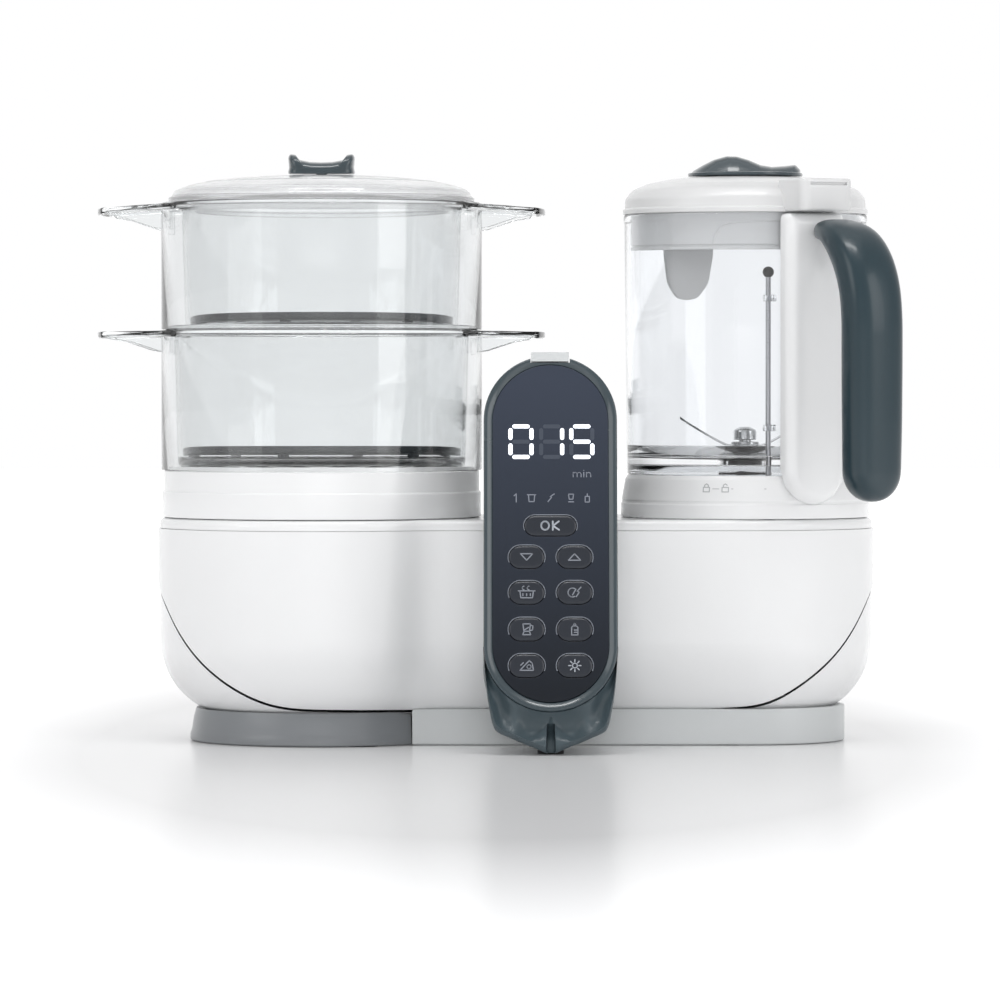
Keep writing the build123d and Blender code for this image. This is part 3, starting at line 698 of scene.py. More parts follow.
# ---- feet ----
SHELL_LEFT_R = 77.0
SHELL_RIGHT_R = 60.5
WAIST_R = 30.0
SHELL_ROUND = 38.0
SHELL_BOTTOM_Z = 10.0
FOOT_R = 62.0
PLINTH_X = -38.0  # where the round foot ends and the plinth begins
PLINTH_HALF = 47.0
FOOT_GAP = 0.15  # air between the feet and the base


def base_plan(inset):
    """Plan of the base, counterclockwise: round lobe at the steamer, straight body at the blender."""
    rise = SHELL_RIGHT_R + WAIST_R
    run = sqrt((SHELL_LEFT_R + WAIST_R) ** 2 - rise ** 2)
    turn = degrees(atan2(rise, run))
    waist_x = STEAMER.x + run
    points = sweep_arc(STEAMER, SHELL_LEFT_R - inset, turn, 360 - 2 * turn, 90)
    points += sweep_arc((waist_x, JAR.y - rise), WAIST_R + inset, 180 - turn, turn - 90, 16)[1:]
    points += sweep_arc(JAR, SHELL_RIGHT_R - inset, -90, 180, 64)
    points += sweep_arc((waist_x, JAR.y + rise), WAIST_R + inset, 270, turn - 90, 16)[:-1]
    return points


def base_body(gap):
    """The base's outer form, let out by a small gap, as a closed tool."""
    rings = []
    for a in quarter(16)[::-1]:
        inset = SHELL_ROUND * (1 - cos(a)) - gap
        z = SHELL_BOTTOM_Z + SHELL_ROUND * (1 - sin(a)) - gap
        rings.append(placed(base_plan(inset), z))
    return skinned(rings + [placed(base_plan(-gap), 60)])


def make_steamer_foot():
    """Round, flared foot, cut off straight where the plinth begins."""
    wall_x = PLINTH_X - 0.3 - STEAMER.x
    levels = [
        (2.2, 0.4), (0.5, 0.4), (0, 0.9), (0, 3.4), (0.5, 4.6), (0.8, 6), (1.1, 8), (1.6, 11),
        (2.4, 14), (3.2, 16.5), (4.4, 18.5),
    ]
    rings = []
    for inset, z in levels:
        radius = FOOT_R - inset
        start = degrees(acos((wall_x - 0.25 * min(inset, 2)) / radius))
        rings.append(placed(sweep_arc(STEAMER, radius, start, 360 - 2 * start, 120), z))
    bm = cut(skinned(rings), [base_body(FOOT_GAP)])
    # The foot's dark grey, against the plinth's light grey, is painted shade on the same pale plastic.
    piece("steamer_foot", bm, "base", "grey_plastic", ["pedestal_left"])


def make_plinth():
    """Straight plinth that carries the rest of the base."""
    plan = [Vector((PLINTH_X, JAR.y + side * PLINTH_HALF)) for side in (1, -1)]
    plan += sweep_arc(JAR, PLINTH_HALF, -90, 180, 64)
    levels = ((2, 0.4), (0.5, 0.4), (0, 0.9), (0, 16), (0.3, 16.8), (0.9, 17))
    bm = skinned([placed(grow(plan, -inset), z) for inset, z in levels])
    bm = cut(bm, [base_body(FOOT_GAP)])
    piece("blender_plinth", bm, "base", "light_grey_plastic", ["pedestal_right"])


# ---- blender jar ----
ROD_REACH = 49.5  # interlock rod from the jar's axis
GRIP_SCREW_Z = (229, 237)
SKIRT_R = 54  # outside of the lid's skirt
GRIP_POWER = 2 / 2.7  # squareness of the grip's section
CAP_Z = 266.2  # foot of the cap's wave


def make_jar():
    outline = [
        (52.4, 113, 0.5), (54.2, 113, 0.5), (54.2, 125, 0.4), (55.5, 125.6, 0.8), (56.9, 243, 0.6),
        (57.3, 244.4, 0.6), (57.3, 247, 0.7), (55, 247, 0.6), (53.4, 139, 2), (50.6, 133.4, 4),
        (9, 133, 0.4), (9, 130.5, 0.4), (50.5, 130.5, 2), (52.4, 127, 2),
    ]
    bm = turned(outline, 0.5, JAR)
    tab = soften([(47, -2.2, 1.6), (55, -2.6, 0), (55, 2.6, 0), (47, 2.2, 1.6)], 0)
    for z in (146, 206):
        slab(bm, tab, z, z + 3, 0.4, at_rod, [circle(1.35, (ROD_REACH, 0), 20)])
    piece("jar_vessel", bm, "blender_jar", "clear_plastic", ["jar"], look="jar_clear")


def make_collar():
    outline = [
        (58.5, 105.3, 0.6), (58.4, 111.6, 0.8), (58, 112.2, 0.2), (57.9, 113, 0.2), (58.1, 113.6, 0.6),
        (56.4, 123.2, 1.2), (55.2, 125.2, 0.8), (54.5, 125.2, 0.3), (54.5, 112.7, 0.3), (51.6, 112.7, 0.3),
        (51.6, 105.3, 0.5),
    ]
    piece("jar_collar_ring", turned(outline, 0.5, JAR), "blender_jar", "white_gloss", ["jar_collar"])


def make_blade_holder():
    outline = [(3.1, 119.2), (8, 119.2), (8, 133.6), (14, 133.6), (14, 135), (7.5, 137.4), (3.1, 137.4)]
    piece("blade_hub", turned(outline, 0.6, JAR, 72), "blender_jar", "black_plastic", ["blade_holder"])
    bm = bmesh.new()
    lobes = [on_circle(JAR, 12.1 + 0.4 * cos(12 * a), a) for a in full_turn(144)]
    slab(bm, lobes, 125.2, 130.4, 0.7, flat, [circle(8.1, JAR, 72)])
    piece("lock_nut", bm, "blender_jar", "black_plastic", ["blade_nut"])


def make_collar_marks():
    """Open and closed padlocks with a travel line, moulded on the front of the jar collar."""
    padlock = [[(-1.5, -1.6), (1.5, -1.6), (1.5, 0.5), (-1.5, 0.5), (-1.5, -1.6)]]
    closed = padlock + [[(-0.9, 0.5), (-0.9, 1.5), (0, 2.1), (0.9, 1.5), (0.9, 0.5)]]
    opened = padlock + [[(-0.9, 0.5), (-0.9, 1.5), (0, 2.1), (0.9, 1.5)]]
    shapes = strokes(closed, 0.4, (-20.5, 119.5)) + strokes(opened, 0.4, (-11.5, 119.5))
    shapes += strokes([[(-17.5, 119.3), (-14.5, 119.3)], [(-8.6, 119.3), (7.5, 119.3)]], 0.3)

    def on_collar(x, z, lift):
        """Point on the collar's sloping face, with x along its front."""
        return on_tube(JAR, 58.1 - (z - 113.6) * 1.7 / 9.6 + lift, radians(-90) + x / 57.2, z)

    bm = bmesh.new()
    for outline in shapes:
        skin(bm, [placed(outline, lift, on_collar) for lift in (-0.1, 0.12)])
    piece("collar_lock_marks", bm, "blender_jar", "light_grey_plastic", look="moulded_mark")


def make_rod():
    axis = at_rod(ROD_REACH, 0, 0).xy
    outline = [(0, 107, 0), (1.2, 107, 0.4), (1.2, 217.9, 0), (0, 217.9, 0)]
    piece("sensing_rod", turned(outline, 0.3, axis, 28), "rod", "steel", ["interlock_rod"])
    bm = bmesh.new()
    ball = sweep_arc((0, 219.5), 2.6, -66, 156, 14)
    lathe(bm, [(0, 217.1)] + [(max(0, p.x), p.y) for p in ball], axis, 36)
    piece("rod_ball", bm, "rod", "black_plastic")


def make_spindle():
    outline = [
        (0, 116.4, 0), (3, 116.4, 0.4), (3, 142, 0), (5.4, 142, 0.5), (5.4, 146.6, 1.6), (2.4, 148, 0.8),
        (0, 148, 0),
    ]
    piece("spindle", turned(outline, 0.4, JAR, 64), "knife", "steel", ["blade_shaft"], look="blade_steel")


def make_blades():
    """Four wings, two bent up and two bent slightly down."""
    outline = [(3.1, 137.8, 0.3), (6.6, 137.8, 0.6), (6.6, 141.2, 0.6), (3.1, 141.2, 0.3)]
    bm = turned(outline, 0.4, JAR, 64)
    for turn, rise in ((0, 12.6), (90, -1.2), (180, 12.6), (270, -1.2)):
        place = local_at(radians(turn), JAR)
        rings = []
        for k in range(17):
            s = k / 16
            reach = 5.0 + 25.6 * s
            bend = max(0, (s - 0.12) / 0.88)
            lift = 139.5 + rise * bend ** 1.15
            half = 5.2 * (1 - s ** 2.4) ** 0.5 * (1 - 0.25 * s) + 0.25
            sweep_back = -3.2 * s * s
            upper = [(-half * 0.35, 0.62), (half * 0.6, 0.62), (half, 0.35)]
            section = [(-half, 0)] + upper + [(y, -z) for y, z in reversed(upper)]
            rings.append([place(reach, y + sweep_back, lift + z) for y, z in section])
        skin(bm, rings)
    piece("knife_blades", bm, "knife", "blade_steel", ["blades"], sharp=22)


def bore_ring(reach, radius, z):
    """Circle about a line that runs outwards from the jar along the handle's direction."""
    return [at_handle(reach, radius * cos(a), z + radius * sin(a)) for a in full_turn(32)]


def make_bracket():
    """White carrier of the grip: round below, square under the lid, hollowed at the back to the jar."""
    half = 15.8
    low = 112.0
    high = 246.8
    centre_z = low + half

    def half_width(z):
        if z < centre_z:
            return sqrt(max(0, half * half - (centre_z - z) ** 2))
        corner = max(0, z - (high - 3)) / 3.0
        return half - 3.0 * (1 - sqrt(max(0, 1 - corner * corner)))

    def front(t, z):
        """Distance of the outer face from the jar's axis, rounded towards every edge."""
        to_edge = half - hypot(t, centre_z - z) if z < centre_z else half_width(z) - abs(t)
        to_edge = max(0, min(to_edge, high - z, 5.5))
        round_off = 4.6 * sqrt(max(0, 1 - (1 - to_edge / 5.5) ** 2))
        crown = 0.6 * (1 - (t / half) ** 2)
        pad = 1.2 * exp(-((t + 1.5) / 6.5) ** 2 - ((z - 221.5) / 7) ** 2)
        return 58.9 + round_off + (crown + pad) * min(1, to_edge / 4) - 0.1

    heights = [low + half * (1 - cos(a)) for a in quarter(16)]
    heights += [centre_z + (high - 6 - centre_z) * k / 60 for k in range(1, 61)]
    heights += [high - 6 * cos(a) for a in quarter(10)[1:]]
    across = [sin(pi / 2 * (-1 + 2 * k / 28)) for k in range(29)]
    rings = []
    for z in heights:
        wide = max(0.05, half_width(z))
        wall = 57.6 if z > 127.5 else 58.8
        ring = [at_handle(front(wide * s, z), wide * s, z) for s in across]
        for s in reversed(across[::2]):
            ring.append(at_handle(sqrt(wall * wall - (wide * s) ** 2), wide * s, z))
        rings.append(ring)
    holes = [skinned([bore_ring(r, 3.1, z) for r in (50, 60.1)]) for z in GRIP_SCREW_Z]
    piece("handle_mount", cut(skinned(rings), holes), "blender_jar", "white_gloss", ["handle_bracket"])


def make_grip_screws():
    bm = bmesh.new()
    for z, end in zip(GRIP_SCREW_Z, (63.4, 74)):
        profile = [
            (58.4, 2.2), (58.4, 2.7), (58.7, 3), (59.7, 3), (60, 2.6), (60, 1.5), (end - 1, 1.5),
            (end, 0.6),
        ]
        skin(bm, [bore_ring(r, w, z) for r, w in profile])
    piece("grip_screws", bm, "blender_jar", "steel", ["handle_screws"])


def make_grip():
    """Leaf-tipped grip: the section grows from a point at the bracket and turns down."""
    stations = [
        (64.3, 236.4, 2.6, 1.7), (68, 237.4, 5.6, 3.4), (74.5, 238.3, 9, 5), (84, 236.2, 11.8, 7),
        (93, 231.2, 13.3, 9), (100.5, 223, 13.9, 10), (105.6, 212, 14, 10.4), (107.7, 199, 14, 10.5),
        (108, 184, 14, 10.5), (108, 165, 13.9, 10.5), (108, 146, 13.7, 10.4), (107.8, 128.5, 13.4, 10.2),
    ]
    rows = smooth_path(stations, 5)
    end_r, end_z, end_w, end_d = rows[-1]
    for a in quarter(12)[1:]:
        left = max(0, cos(a)) ** 0.9
        rows.append([end_r, end_z - 14.4 * sin(a), max(0.05, end_w * left), max(0.05, end_d * left)])
    rings = []
    for (r, z, wide, deep), along in zip(rows, headings(rows)):
        ring = []
        for a in full_turn(56):
            t = wide * copysign(abs(cos(a)) ** GRIP_POWER, cos(a))
            n = deep * copysign(abs(sin(a)) ** GRIP_POWER, sin(a))
            ring.append(at_handle(r - along.y * n, t, z + along.x * n))
        rings.append(ring)
    bm = skinned(rings)
    # The grip's darker slate look is painted shade.
    piece("grip_handle", bm, "blender_jar", "slate_plastic", ["handle_grip"], "slate_grip_painted_shade", 50)


def lid_lock():
    """Block at the lid's rim over the handle, with a finger slit in its outer end."""
    seat = [(*on_circle((0, 0), 52.8, radians(d)), 0) for d in (15.4, 10, 5, 0, -5, -10, -15.4)]
    plan = [(51, -14, 0), (72, -14, 5), (72, 14, 5), (51, 14, 0)] + seat
    lock = bmesh.new()
    slab(lock, soften(plan, 4, 5), 247.6, 262.6, 1.2, at_handle)
    return cut(lock, [box_cutter(70.6, 80, -10, 10, 259.4, 260.8, at_handle)])


def add_tongue(bm):
    """Flap that hangs inside the jar opposite the handle."""
    half = [(-14.2, 240, 0), (-14, 227, 12), (-11.6, 214, 10), (-6, 207.4, 6)]
    tongue = half + [(0, 206.4, 8)] + [(-x, z, radius) for x, z, radius in reversed(half)]

    def wrap(t, z, depth):
        return on_tube(JAR, 52.1 + depth, HANDLE_TURN + pi + t / 53, z)

    slab(bm, soften(tongue, 4, 6), 0, 1.8, 0.5, wrap)


def add_bead(bm):
    """Raised line round the tongue's root, on the lid's skirt; x runs along the skirt."""
    line = [(-108.6, 232.8), (-107.4, 236.4), (-103.9, 240.8), (-98, 242.5), (-88, 243), (-73, 243.2)]
    bead = [(radians(turn) * SKIRT_R, z) for turn, z in smooth_path(line, 6)]
    rings = []
    for (x, z), along in zip(bead, headings(bead)):
        ring = []
        for b in full_turn(10):
            side = 0.5 * cos(b)
            r = SKIRT_R + 0.4 * sin(b)
            ring.append(on_tube(JAR, r, (x - along.y * side) / SKIRT_R, z + along.x * side))
        rings.append(ring)
    skin(bm, rings)


def make_jar_lid():
    outline = [
        (57.6, 247.3, 0.6), (57.6, 249.5, 0.7), (56.7, 250.1, 0.5), (56.5, 254.6, 4), (53.2, 258.8, 6),
        (46, 261.8, 7), (36, 263.8, 5), (30, 264.5, 3), (22, 265, 0.5), (22, 262.6, 0.4), (30, 262.4, 2),
        (42, 260.8, 2), (52, 257.4, 1.5), (52, 230, 0.5), (54, 230, 0.5), (54, 231.4, 0.3),
        (53.2, 231.6, 0.2), (53.2, 232.3, 0.2), (54, 232.5, 0.3), (54, 247.3, 0.5),
    ]
    bm = lid_lock()
    lathe(bm, soften(outline, 0.5), JAR)
    add_tongue(bm)
    add_bead(bm)
    # The lid's greyer white is painted shade.
    piece("blender_lid_shell", bm, "blender_lid", "white_gloss", ["jar_lid"], look="white_lid_painted_shade")


def make_cap():
    wave = [
        (-26, CAP_Z, 0.8), (26, CAP_Z, 0.8), (26, 268.4, 1.2), (23.6, 270.9, 1.6), (18.5, 270.3, 4),
        (12.5, 269.9, 5), (7, 270.8, 5), (1.5, 273.2, 5), (-4, 274.8, 5), (-9, 274.9, 5), (-15, 273.2, 6),
        (-20, 270.7, 5), (-24.5, 268, 3),
    ]
    outline = soften(wave, 2, 4)
    rings = []
    for k in range(29):
        s = -1 + 2 * k / 28
        tall = max(0.04, 1 - abs(s) ** 2.6)
        reach = sqrt(max(0, 1 - (s * 12.5 / 27) ** 2))
        rings.append([(JAR.x + p.x * reach, JAR.y + 12.5 * s, CAP_Z + (p.y - CAP_Z) * tall) for p in outline])
    bm = skinned(rings)
    disc = [(0, 265.3, 0), (27, 265.3, 0.6), (27, 266.9, 0.7), (20, 267.3, 2), (0, 267.4, 0)]
    lathe(bm, soften(disc, 0.5), JAR, 112)
    neck = [(21.6, 265.6, 0), (21.6, 256, 0.6), (19.6, 256, 0.6), (19.6, 265.6, 0)]
    lathe(bm, soften(neck, 0.4), JAR, 96)
    piece("measuring_cap", bm, "cap", "slate_plastic", ["filler_cap"])


# ---- key panel ----
PANEL_W = 61.0
PANEL_H = 166.68
LENS_W = 52.8
LENS_H = PANEL_H - 8.8
CASING_BACK = -37.4
LENS_FACE = -0.9
KEY_FACE = -0.42
DIGIT_Z = 141.7
WORD_Z = 125.7
SYMBOL_Z = 116.1
CHIN_LOW_Z = 1.0
N = Vector((0, -cos(PANEL_LEAN), sin(PANEL_LEAN)))
V = Vector((0, sin(PANEL_LEAN), cos(PANEL_LEAN)))
ORIGIN = LENS + N * 1.3


def on_panel(u, v, d):
    return ORIGIN + Vector((u, 0, 0)) + V * v + N * d


def row_height(z):
    """Distance along the leaning panel of a height in the row frame."""
    return (z - ORIGIN.z) / cos(PANEL_LEAN)


def to_back(point, plane):
    """Follows the panel's normal back to an upright plane."""
    return point + N * ((plane - point.y) / N.y)


def make_casing():
    def ring(inset, depth):
        return placed(pill(PANEL_W - 2 * inset, PANEL_H - 2 * inset, (0, 0), 48), depth, on_panel)

    def back_ring(inset, plane=CASING_BACK):
        return [to_back(p, plane) for p in ring(inset, -6)]

    front = [
        (7, -2.5), (4.4, -2.5), (4.2, -2.3), (4.1, -1.35), (3.9, -1.15), (1.7, -0.12), (1.25, 0),
        (0.95, -0.06),
    ]
    front += [(0.95 * (1 - sin(a)), -1.0 + 0.94 * cos(a)) for a in quarter(6)[1:]]
    front.append((0, -6))
    rings = [ring(inset, depth) for inset, depth in front] + [back_ring(0), back_ring(1.5), back_ring(7)]
    notch = box_cutter(ORIGIN.x - 9, ORIGIN.x + 9, -100, 0, 177.6, 200)
    pocket = skinned([ring(7, 1), ring(7, -2), back_ring(7, CASING_BACK - 3)])
    piece("panel_housing", cut(skinned(rings), [pocket, notch]), "base", "slate_plastic", ["control_casing"])


KEY_ROWS = (89.3, 73.3, 56.8, 40.5)
KEYS = [("key_ok", 0, 103.5, 23.6, 9.4)]
KEY_PAIRS = (
    ("key_down", "key_up"), ("key_steam", "key_defrost"), ("key_blend", "key_bottle"),
    ("key_sterilise", "key_light"),
)
for row_z, pair in zip(KEY_ROWS, KEY_PAIRS):
    for key_u, key_name in zip((-10.9, 10.9), pair):
        KEYS.append((key_name, key_u, row_z, 16, 10.6))


def make_lens_and_keys():
    holes = [pill(w + 0.5, h + 0.5, (u, row_height(z)), 20) for name, u, z, w, h in KEYS]
    bm = bmesh.new()
    slab(bm, pill(LENS_W, LENS_H, (0, 0), 64), -2.4, LENS_FACE, 0.3, on_panel, holes)
    piece("tinted_window", bm, "base", "panel_gloss", ["panel_lens"])
    for name, u, z, w, h in KEYS:
        v = row_height(z)
        profile = [
            (0, -3.5), (0, -1.25), (0.12, -0.95), (0.5, -0.72), (1.3, -0.55), (2.6, -0.46),
            (h / 2 - 0.3, KEY_FACE),
        ]
        rings = [placed(pill(w - 2 * inset, h - 2 * inset, (u, v)), d, on_panel) for inset, d in profile]
        bm = skinned(rings)
        slab(bm, pill(w + 2, h + 2, (u, v)), -4.6, -3.4, 0.3, on_panel)
        slab(bm, circle(2, (u, v), 24), -6.6, -4.5, 0.2, on_panel)
        piece(name + "_cap", bm, name + "_body", "key_plastic", [name])


def capsule(a, b, width):
    """Straight stroke with round ends."""
    a = Vector(a)
    b = Vector(b)
    along = b - a
    turn = degrees(atan2(along.y, along.x)) if along.length > 1e-6 else 0.0
    points = []
    for centre, start in ((b, -90), (a, 90)):
        points += sweep_arc(centre, width / 2, turn + start, 180, 6)
    return points


def strokes(lines, width, at=(0, 0), scale=1):
    """Outlines of the strokes of a drawing; each line is a list of points."""
    shapes = []
    for line in lines:
        moved = [Vector((at[0] + x * scale, at[1] + y * scale)) for x, y in line]
        if len(moved) == 1:
            moved = moved * 2
        for a, b in zip(moved, moved[1:]):
            shapes.append(capsule(a, b, width))
    return shapes


def marks(name, shapes, face, look, body="base"):
    """Thin print, light windows or painted highlights standing a hair above a face of the panel."""
    bm = bmesh.new()
    for outline in shapes:
        skin(bm, [placed(outline, d, on_panel) for d in (face - 0.04, face + 0.045)])
    piece(name, bm, body, "display", look=look)


def arc(cx, cy, rx, ry, a0, a1, steps):
    angles = [radians(a0 + (a1 - a0) * k / steps) for k in range(steps + 1)]
    return [(cx + rx * cos(a), cy + ry * sin(a)) for a in angles]


def digit_segments(width, height):
    """Seven segments of a digit, by name, as end points."""
    w = width / 2
    h = height / 2
    g = 1.75
    return {
        "top": ((-w + g, h), (w - g, h)),
        "middle": ((-w + g, 0), (w - g, 0)),
        "bottom": ((-w + g, -h), (w - g, -h)),
        "upper_left": ((-w, g), (-w, h - g)), "upper_right": ((w, g), (w, h - g)),
        "lower_left": ((-w, -h + g), (-w, -g)), "lower_right": ((w, -h + g), (w, -g)),
    }


DIGITS = (
    (-13.4, ("top", "bottom", "upper_left", "upper_right", "lower_left", "lower_right")),
    (0.6, ("upper_right", "lower_right")),
    (14.4, ("top", "middle", "bottom", "upper_left", "lower_right")),
)

ICONS = {
    "key_ok": [
        arc(-2.6, 0, 1.9, 2.1, 0, 360, 16), [(1.1, -2.1), (1.1, 2.1)], [(4, 2.1), (1.2, -0.1), (4.1, -2.1)],
    ],
    "key_down": [[(-2.9, 1.6), (2.9, 1.6), (0, -1.6), (-2.9, 1.6)]],
    "key_up": [[(-2.9, -1.6), (2.9, -1.6), (0, 1.6), (-2.9, -1.6)]],
    "key_steam": [
        [(-4, 0.8), (4, 0.8)], [(-3.2, 0.8), (-2.8, -2.6), (2.8, -2.6), (3.2, 0.8)],
        *[[(x, -0.6), (x, -1.6)] for x in (-1.8, 0, 1.8)],
        *[arc(x, 2.2, 0.8, 0.9, 90, 270, 6) for x in (-1.3, 1.1)],
    ],
    "key_defrost": [
        arc(-1, 0, 2.2, 2.2, 60, 300, 10), [(-1, -1.2), (0.6, 1.6)],
        [(0.8, -2), (2.2, 0.2), (1.2, 0.6), (3, 2.6)],
    ],
    "key_blend": [
        [(-1.8, 2.6), (-1.3, -1), (1.3, -1), (1.8, 2.6), (-1.8, 2.6)],
        [(-1.9, -2.7), (1.9, -2.7), (1.3, -1.1)], [(-1.9, -2.7), (-1.3, -1.1)],
        [(1.8, 2), (3, 1.6), (2.8, -0.4), (1.6, -0.6)], [(-0.9, -0.2), (0.9, 0.9)],
    ],
    "key_bottle": [
        [(-1.5, -2.8), (-1.5, 0.9), (-0.8, 1.6), (0.8, 1.6), (1.5, 0.9), (1.5, -2.8), (-1.5, -2.8)],
        [(-0.5, 1.8), (-0.3, 2.8), (0.3, 2.8), (0.5, 1.8)],
        [(-0.2, -0.4), (1.3, -0.4)], [(-0.2, -1.5), (1.3, -1.5)],
    ],
    "key_sterilise": [
        [(-3.2, -2.3), (3.2, -2.3), (2.6, 1.2), (1.2, 2.4), (-3.2, -2.3)],
        arc(1.1, -0.6, 1, 1, 0, 360, 10), [(-2.8, 0.2), (-1.6, 1.4)],
    ],
    "key_light": [
        arc(0, 0, 1.2, 1.2, 0, 360, 10),
        *[[on_circle((0, 0), r, a) for r in (1.9, 2.9)] for a in full_turn(8)],
    ],
}


def make_display_marks():
    lit = []
    unlit = []
    row = row_height(DIGIT_Z)
    for u, names in DIGITS:
        for name, (a, b) in digit_segments(9.6, 14.4).items():
            shape = capsule((u + a[0], row + a[1]), (u + b[0], row + b[1]), 1.9)
            (lit if name in names else unlit).append(shape)
    marks("lit_digits", lit, LENS_FACE, "lit_segment")
    marks("unlit_digit_windows", unlit, LENS_FACE, "unlit_segment")
    word = [
        [(0, 0), (0, 2.2)],
        arc(0.95, 1.25, 0.95, 0.95, 180, 0, 6) + [(1.9, 0)],
        arc(2.85, 1.25, 0.95, 0.95, 180, 0, 6) + [(3.8, 0)],
        [(5.1, 0), (5.1, 2.2)], [(5.1, 3.2)], [(6.4, 0), (6.4, 2.2)],
        arc(7.4, 1.2, 1, 1, 180, 0, 6) + [(8.4, 0)],
    ]
    marks("minute_word", strokes(word, 0.42, (10.4, row_height(WORD_Z)), 0.95), LENS_FACE, "lit_symbol")
    row = row_height(SYMBOL_Z)
    symbols = [
        (-15.6, [[(0, -2), (0, 2)], [(-1, 1.1), (0, 2)]]),
        (-8.6, [[(-2, 1.6), (2, 1.6)], [(-1.5, 1.6), (-1.2, -1.8), (1.2, -1.8), (1.5, 1.6)]]),
        (0.4, [[(-1.6, -1.8), (0.2, 0.4), (-0.6, 0.6), (1.4, 2)]]),
        (9.4, [[(-1.2, 1.9), (-0.9, -0.6), (0.9, -0.6), (1.2, 1.9), (-1.2, 1.9)],
               [(-1.2, -1.9), (1.2, -1.9)]]),
        (16.8, [[(-1, -2), (-1, 0.8), (1, 0.8), (1, -2), (-1, -2)], [(0, 1.2), (0, 2)]]),
    ]
    small = []
    for u, lines in symbols:
        small += strokes(lines, 0.45, (u, row), 0.95)
    marks("function_symbols", small, LENS_FACE, "lit_symbol")


def make_key_marks():
    for name, u, z, w, h in KEYS:
        v = row_height(z)
        width = 0.75 if name == "key_ok" else 0.5
        look = "lit_legend" if name in ("key_ok", "key_light") else "printed_mark"
        marks(name + "_symbol", strokes(ICONS[name], width, (u, v), 0.95), KEY_FACE, look, name + "_body")
        # Each key gets a lighter line on the upper part of its rim, a painted highlight that stops short of
        # its foot.
        rim = pill(w + 0.9, h + 0.9, (u, v))
        foot = v - h * 0.22
        rim_highlight_shapes = [capsule(a, b, 0.42) for a, b in zip(rim, rim[1:] + rim[:1]) if (a.y + b.y) / 2 > foot]
        marks(name + "_rim", rim_highlight_shapes, LENS_FACE, "painted_rim_highlight")


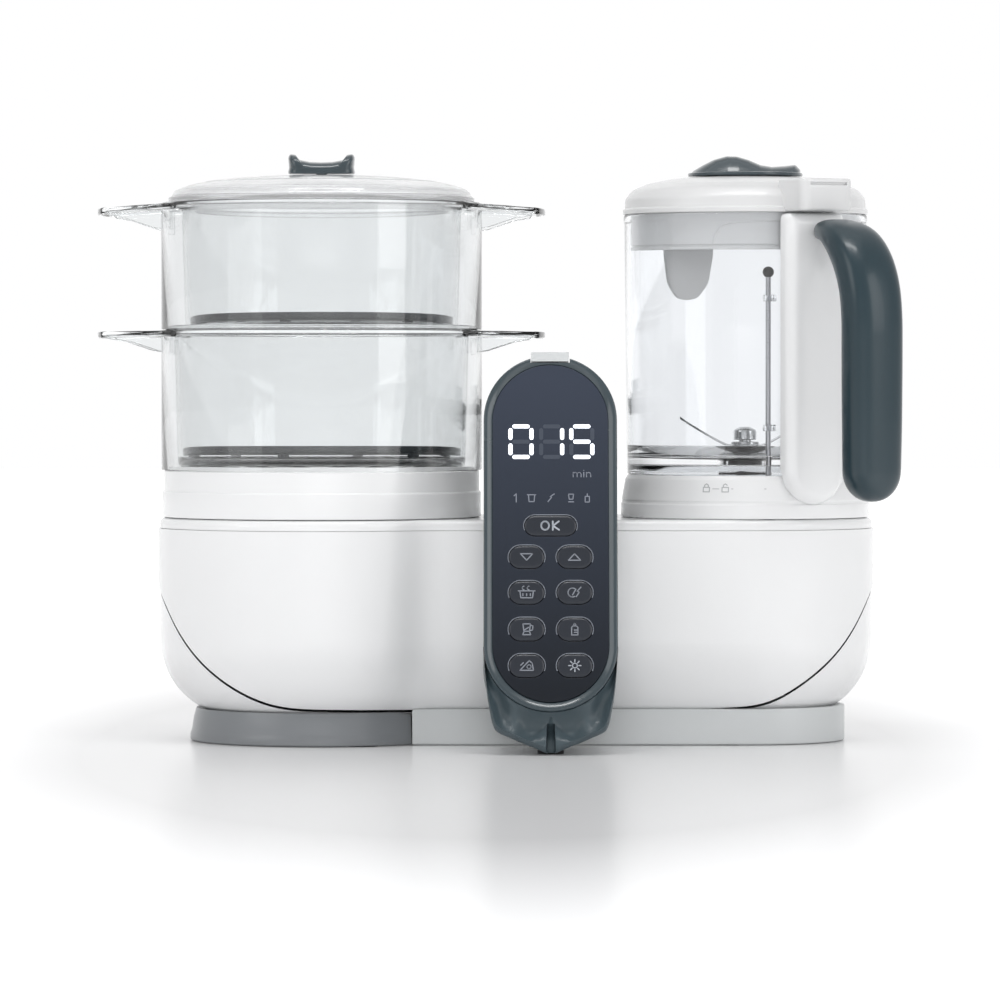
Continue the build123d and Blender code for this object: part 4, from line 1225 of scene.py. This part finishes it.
def make_chin():
    """Sculpted foot of the panel: a scoop under the pill with a split ridge in the middle."""
    radius = PANEL_W / 2 + 0.15
    centre_v = -(PANEL_H / 2 - PANEL_W / 2)
    half = [
        (-30.4, 50.5), (-30.2, 44), (-29.7, 36), (-28.9, 28), (-27.6, 20.5), (-26.2, 14.6), (-24.2, 11.6),
        (-18.5, 9), (-12.5, 6.4), (-7, 4.2), (-2.6, 2.3), (0, 1.8),
    ]
    outline = half + [(-x, z) for x, z in half[-2::-1]]
    rows = smooth_path([(x, row_height(z)) for x, z in outline], 8)
    lengths = [0]
    for a, b in zip(rows, rows[1:]):
        lengths.append(lengths[-1] + dist(a, b))
    total = lengths[-1]

    def outer(s):
        want = s * total
        for i in range(len(rows) - 1):
            if lengths[i + 1] >= want:
                t = (want - lengths[i]) / max(1e-9, lengths[i + 1] - lengths[i])
                return Vector(rows[i]).lerp(Vector(rows[i + 1]), t)
        return Vector(rows[-1])

    def depth(u, v, s):
        """Height of the front surface along the panel's normal."""
        bowl = -1.6 - 4.6 * sin(pi * min(1, s * 1.12)) ** 0.9
        z = ORIGIN.z + v * cos(PANEL_LEAN)
        fade = max(0, min(1, (z - 6) / 8)) * sin(pi * s) ** 0.5 if 0 < s < 1 else 0.0
        lobes = 0.0
        for middle, wide, high in ((16.5, 3.5, 2.7), (26.5, 2.8, 2.1)):
            lobes += fade * high * exp(-((abs(u) - middle) / wide) ** 2)
        widen = max(0, min(1, (17.0 - z) / 11))
        across = max(0, 1 - abs(u) / (0.9 + 12.0 * widen))
        ridge = 4.8 * across * min(1, 0.4 + widen) if widen > 0 else 0.0
        slot = -6.0 * min(1, (15.5 - z) / 2) if abs(u) < 1.7 and z < 15.5 else 0.0
        return min(-0.9, bowl + lobes + ridge) + slot

    stations = []
    for k in range(121):
        q = k / 60 - 1
        stations.append(0.5 + 0.5 * copysign(abs(q) ** 1.35, q))
    rings = []
    levels = [0, 0.05, 0.1, 0.17, 0.25, 0.33, 0.41, 0.5, 0.58, 0.66, 0.74, 0.82, 0.89, 0.94, 0.98, 1]
    for s in stations:
        inner = on_circle((0, centre_v), radius, radians(180 + 180 * s))
        rim = outer(s)
        ring = []
        for t in levels:
            u, v = inner.lerp(rim, t)
            drop = 0.0 if t < 0.88 else -3.0 * ((t - 0.88) / 0.12) ** 2
            spot = on_panel(u, v, depth(u, v, t) + drop)
            spot.z = max(spot.z, CHIN_LOW_Z)
            ring.append(spot)
        low = on_panel(rim.x, rim.y, -4)
        ring.append(Vector((ring[-1].x, CASING_BACK, max(low.z, CHIN_LOW_Z))))
        ring.append(to_back(on_panel(inner.x, inner.y, -6), CASING_BACK))
        rings.append(ring)
    # The panel foot's lighter slate look is painted light.
    piece("panel_foot", skinned(rings), "base", "slate_plastic", ["panel_chin"], sharp=40, look="slate_soft_painted_light")


make_camera()
make_lights()
make_world()
make_floor()
dress_cad()
make_steamer_foot()
make_plinth()
make_bowl()
make_basket("lower_basket_tub", "lower_basket", "low_basket", bottom_z=127.3, top_z=193, cup_r=66.4,
            floor_z=133, tip_z=191, root_z=183, lip=True)
make_basket("upper_basket_tub", "upper_basket", "high_basket", bottom_z=193.3, top_z=253, cup_r=62.9,
            floor_z=196.6, tip_z=248.6, root_z=240.5, lip=False)
make_tray("lower_tray_plate", "lower_tray", "low_tray", radius=65.4, z=136.4, foot_z=133.3)
make_tray("upper_tray_plate", "upper_tray", "high_tray", radius=61.9, z=198.4, foot_z=196.9)
make_steamer_lid()
make_lid_saddle()
make_jar()
make_collar()
make_blade_holder()
make_collar_marks()
make_rod()
make_spindle()
make_blades()
make_bracket()
make_grip_screws()
make_grip()
make_jar_lid()
make_cap()
make_casing()
make_lens_and_keys()
make_display_marks()
make_key_marks()
make_chin()
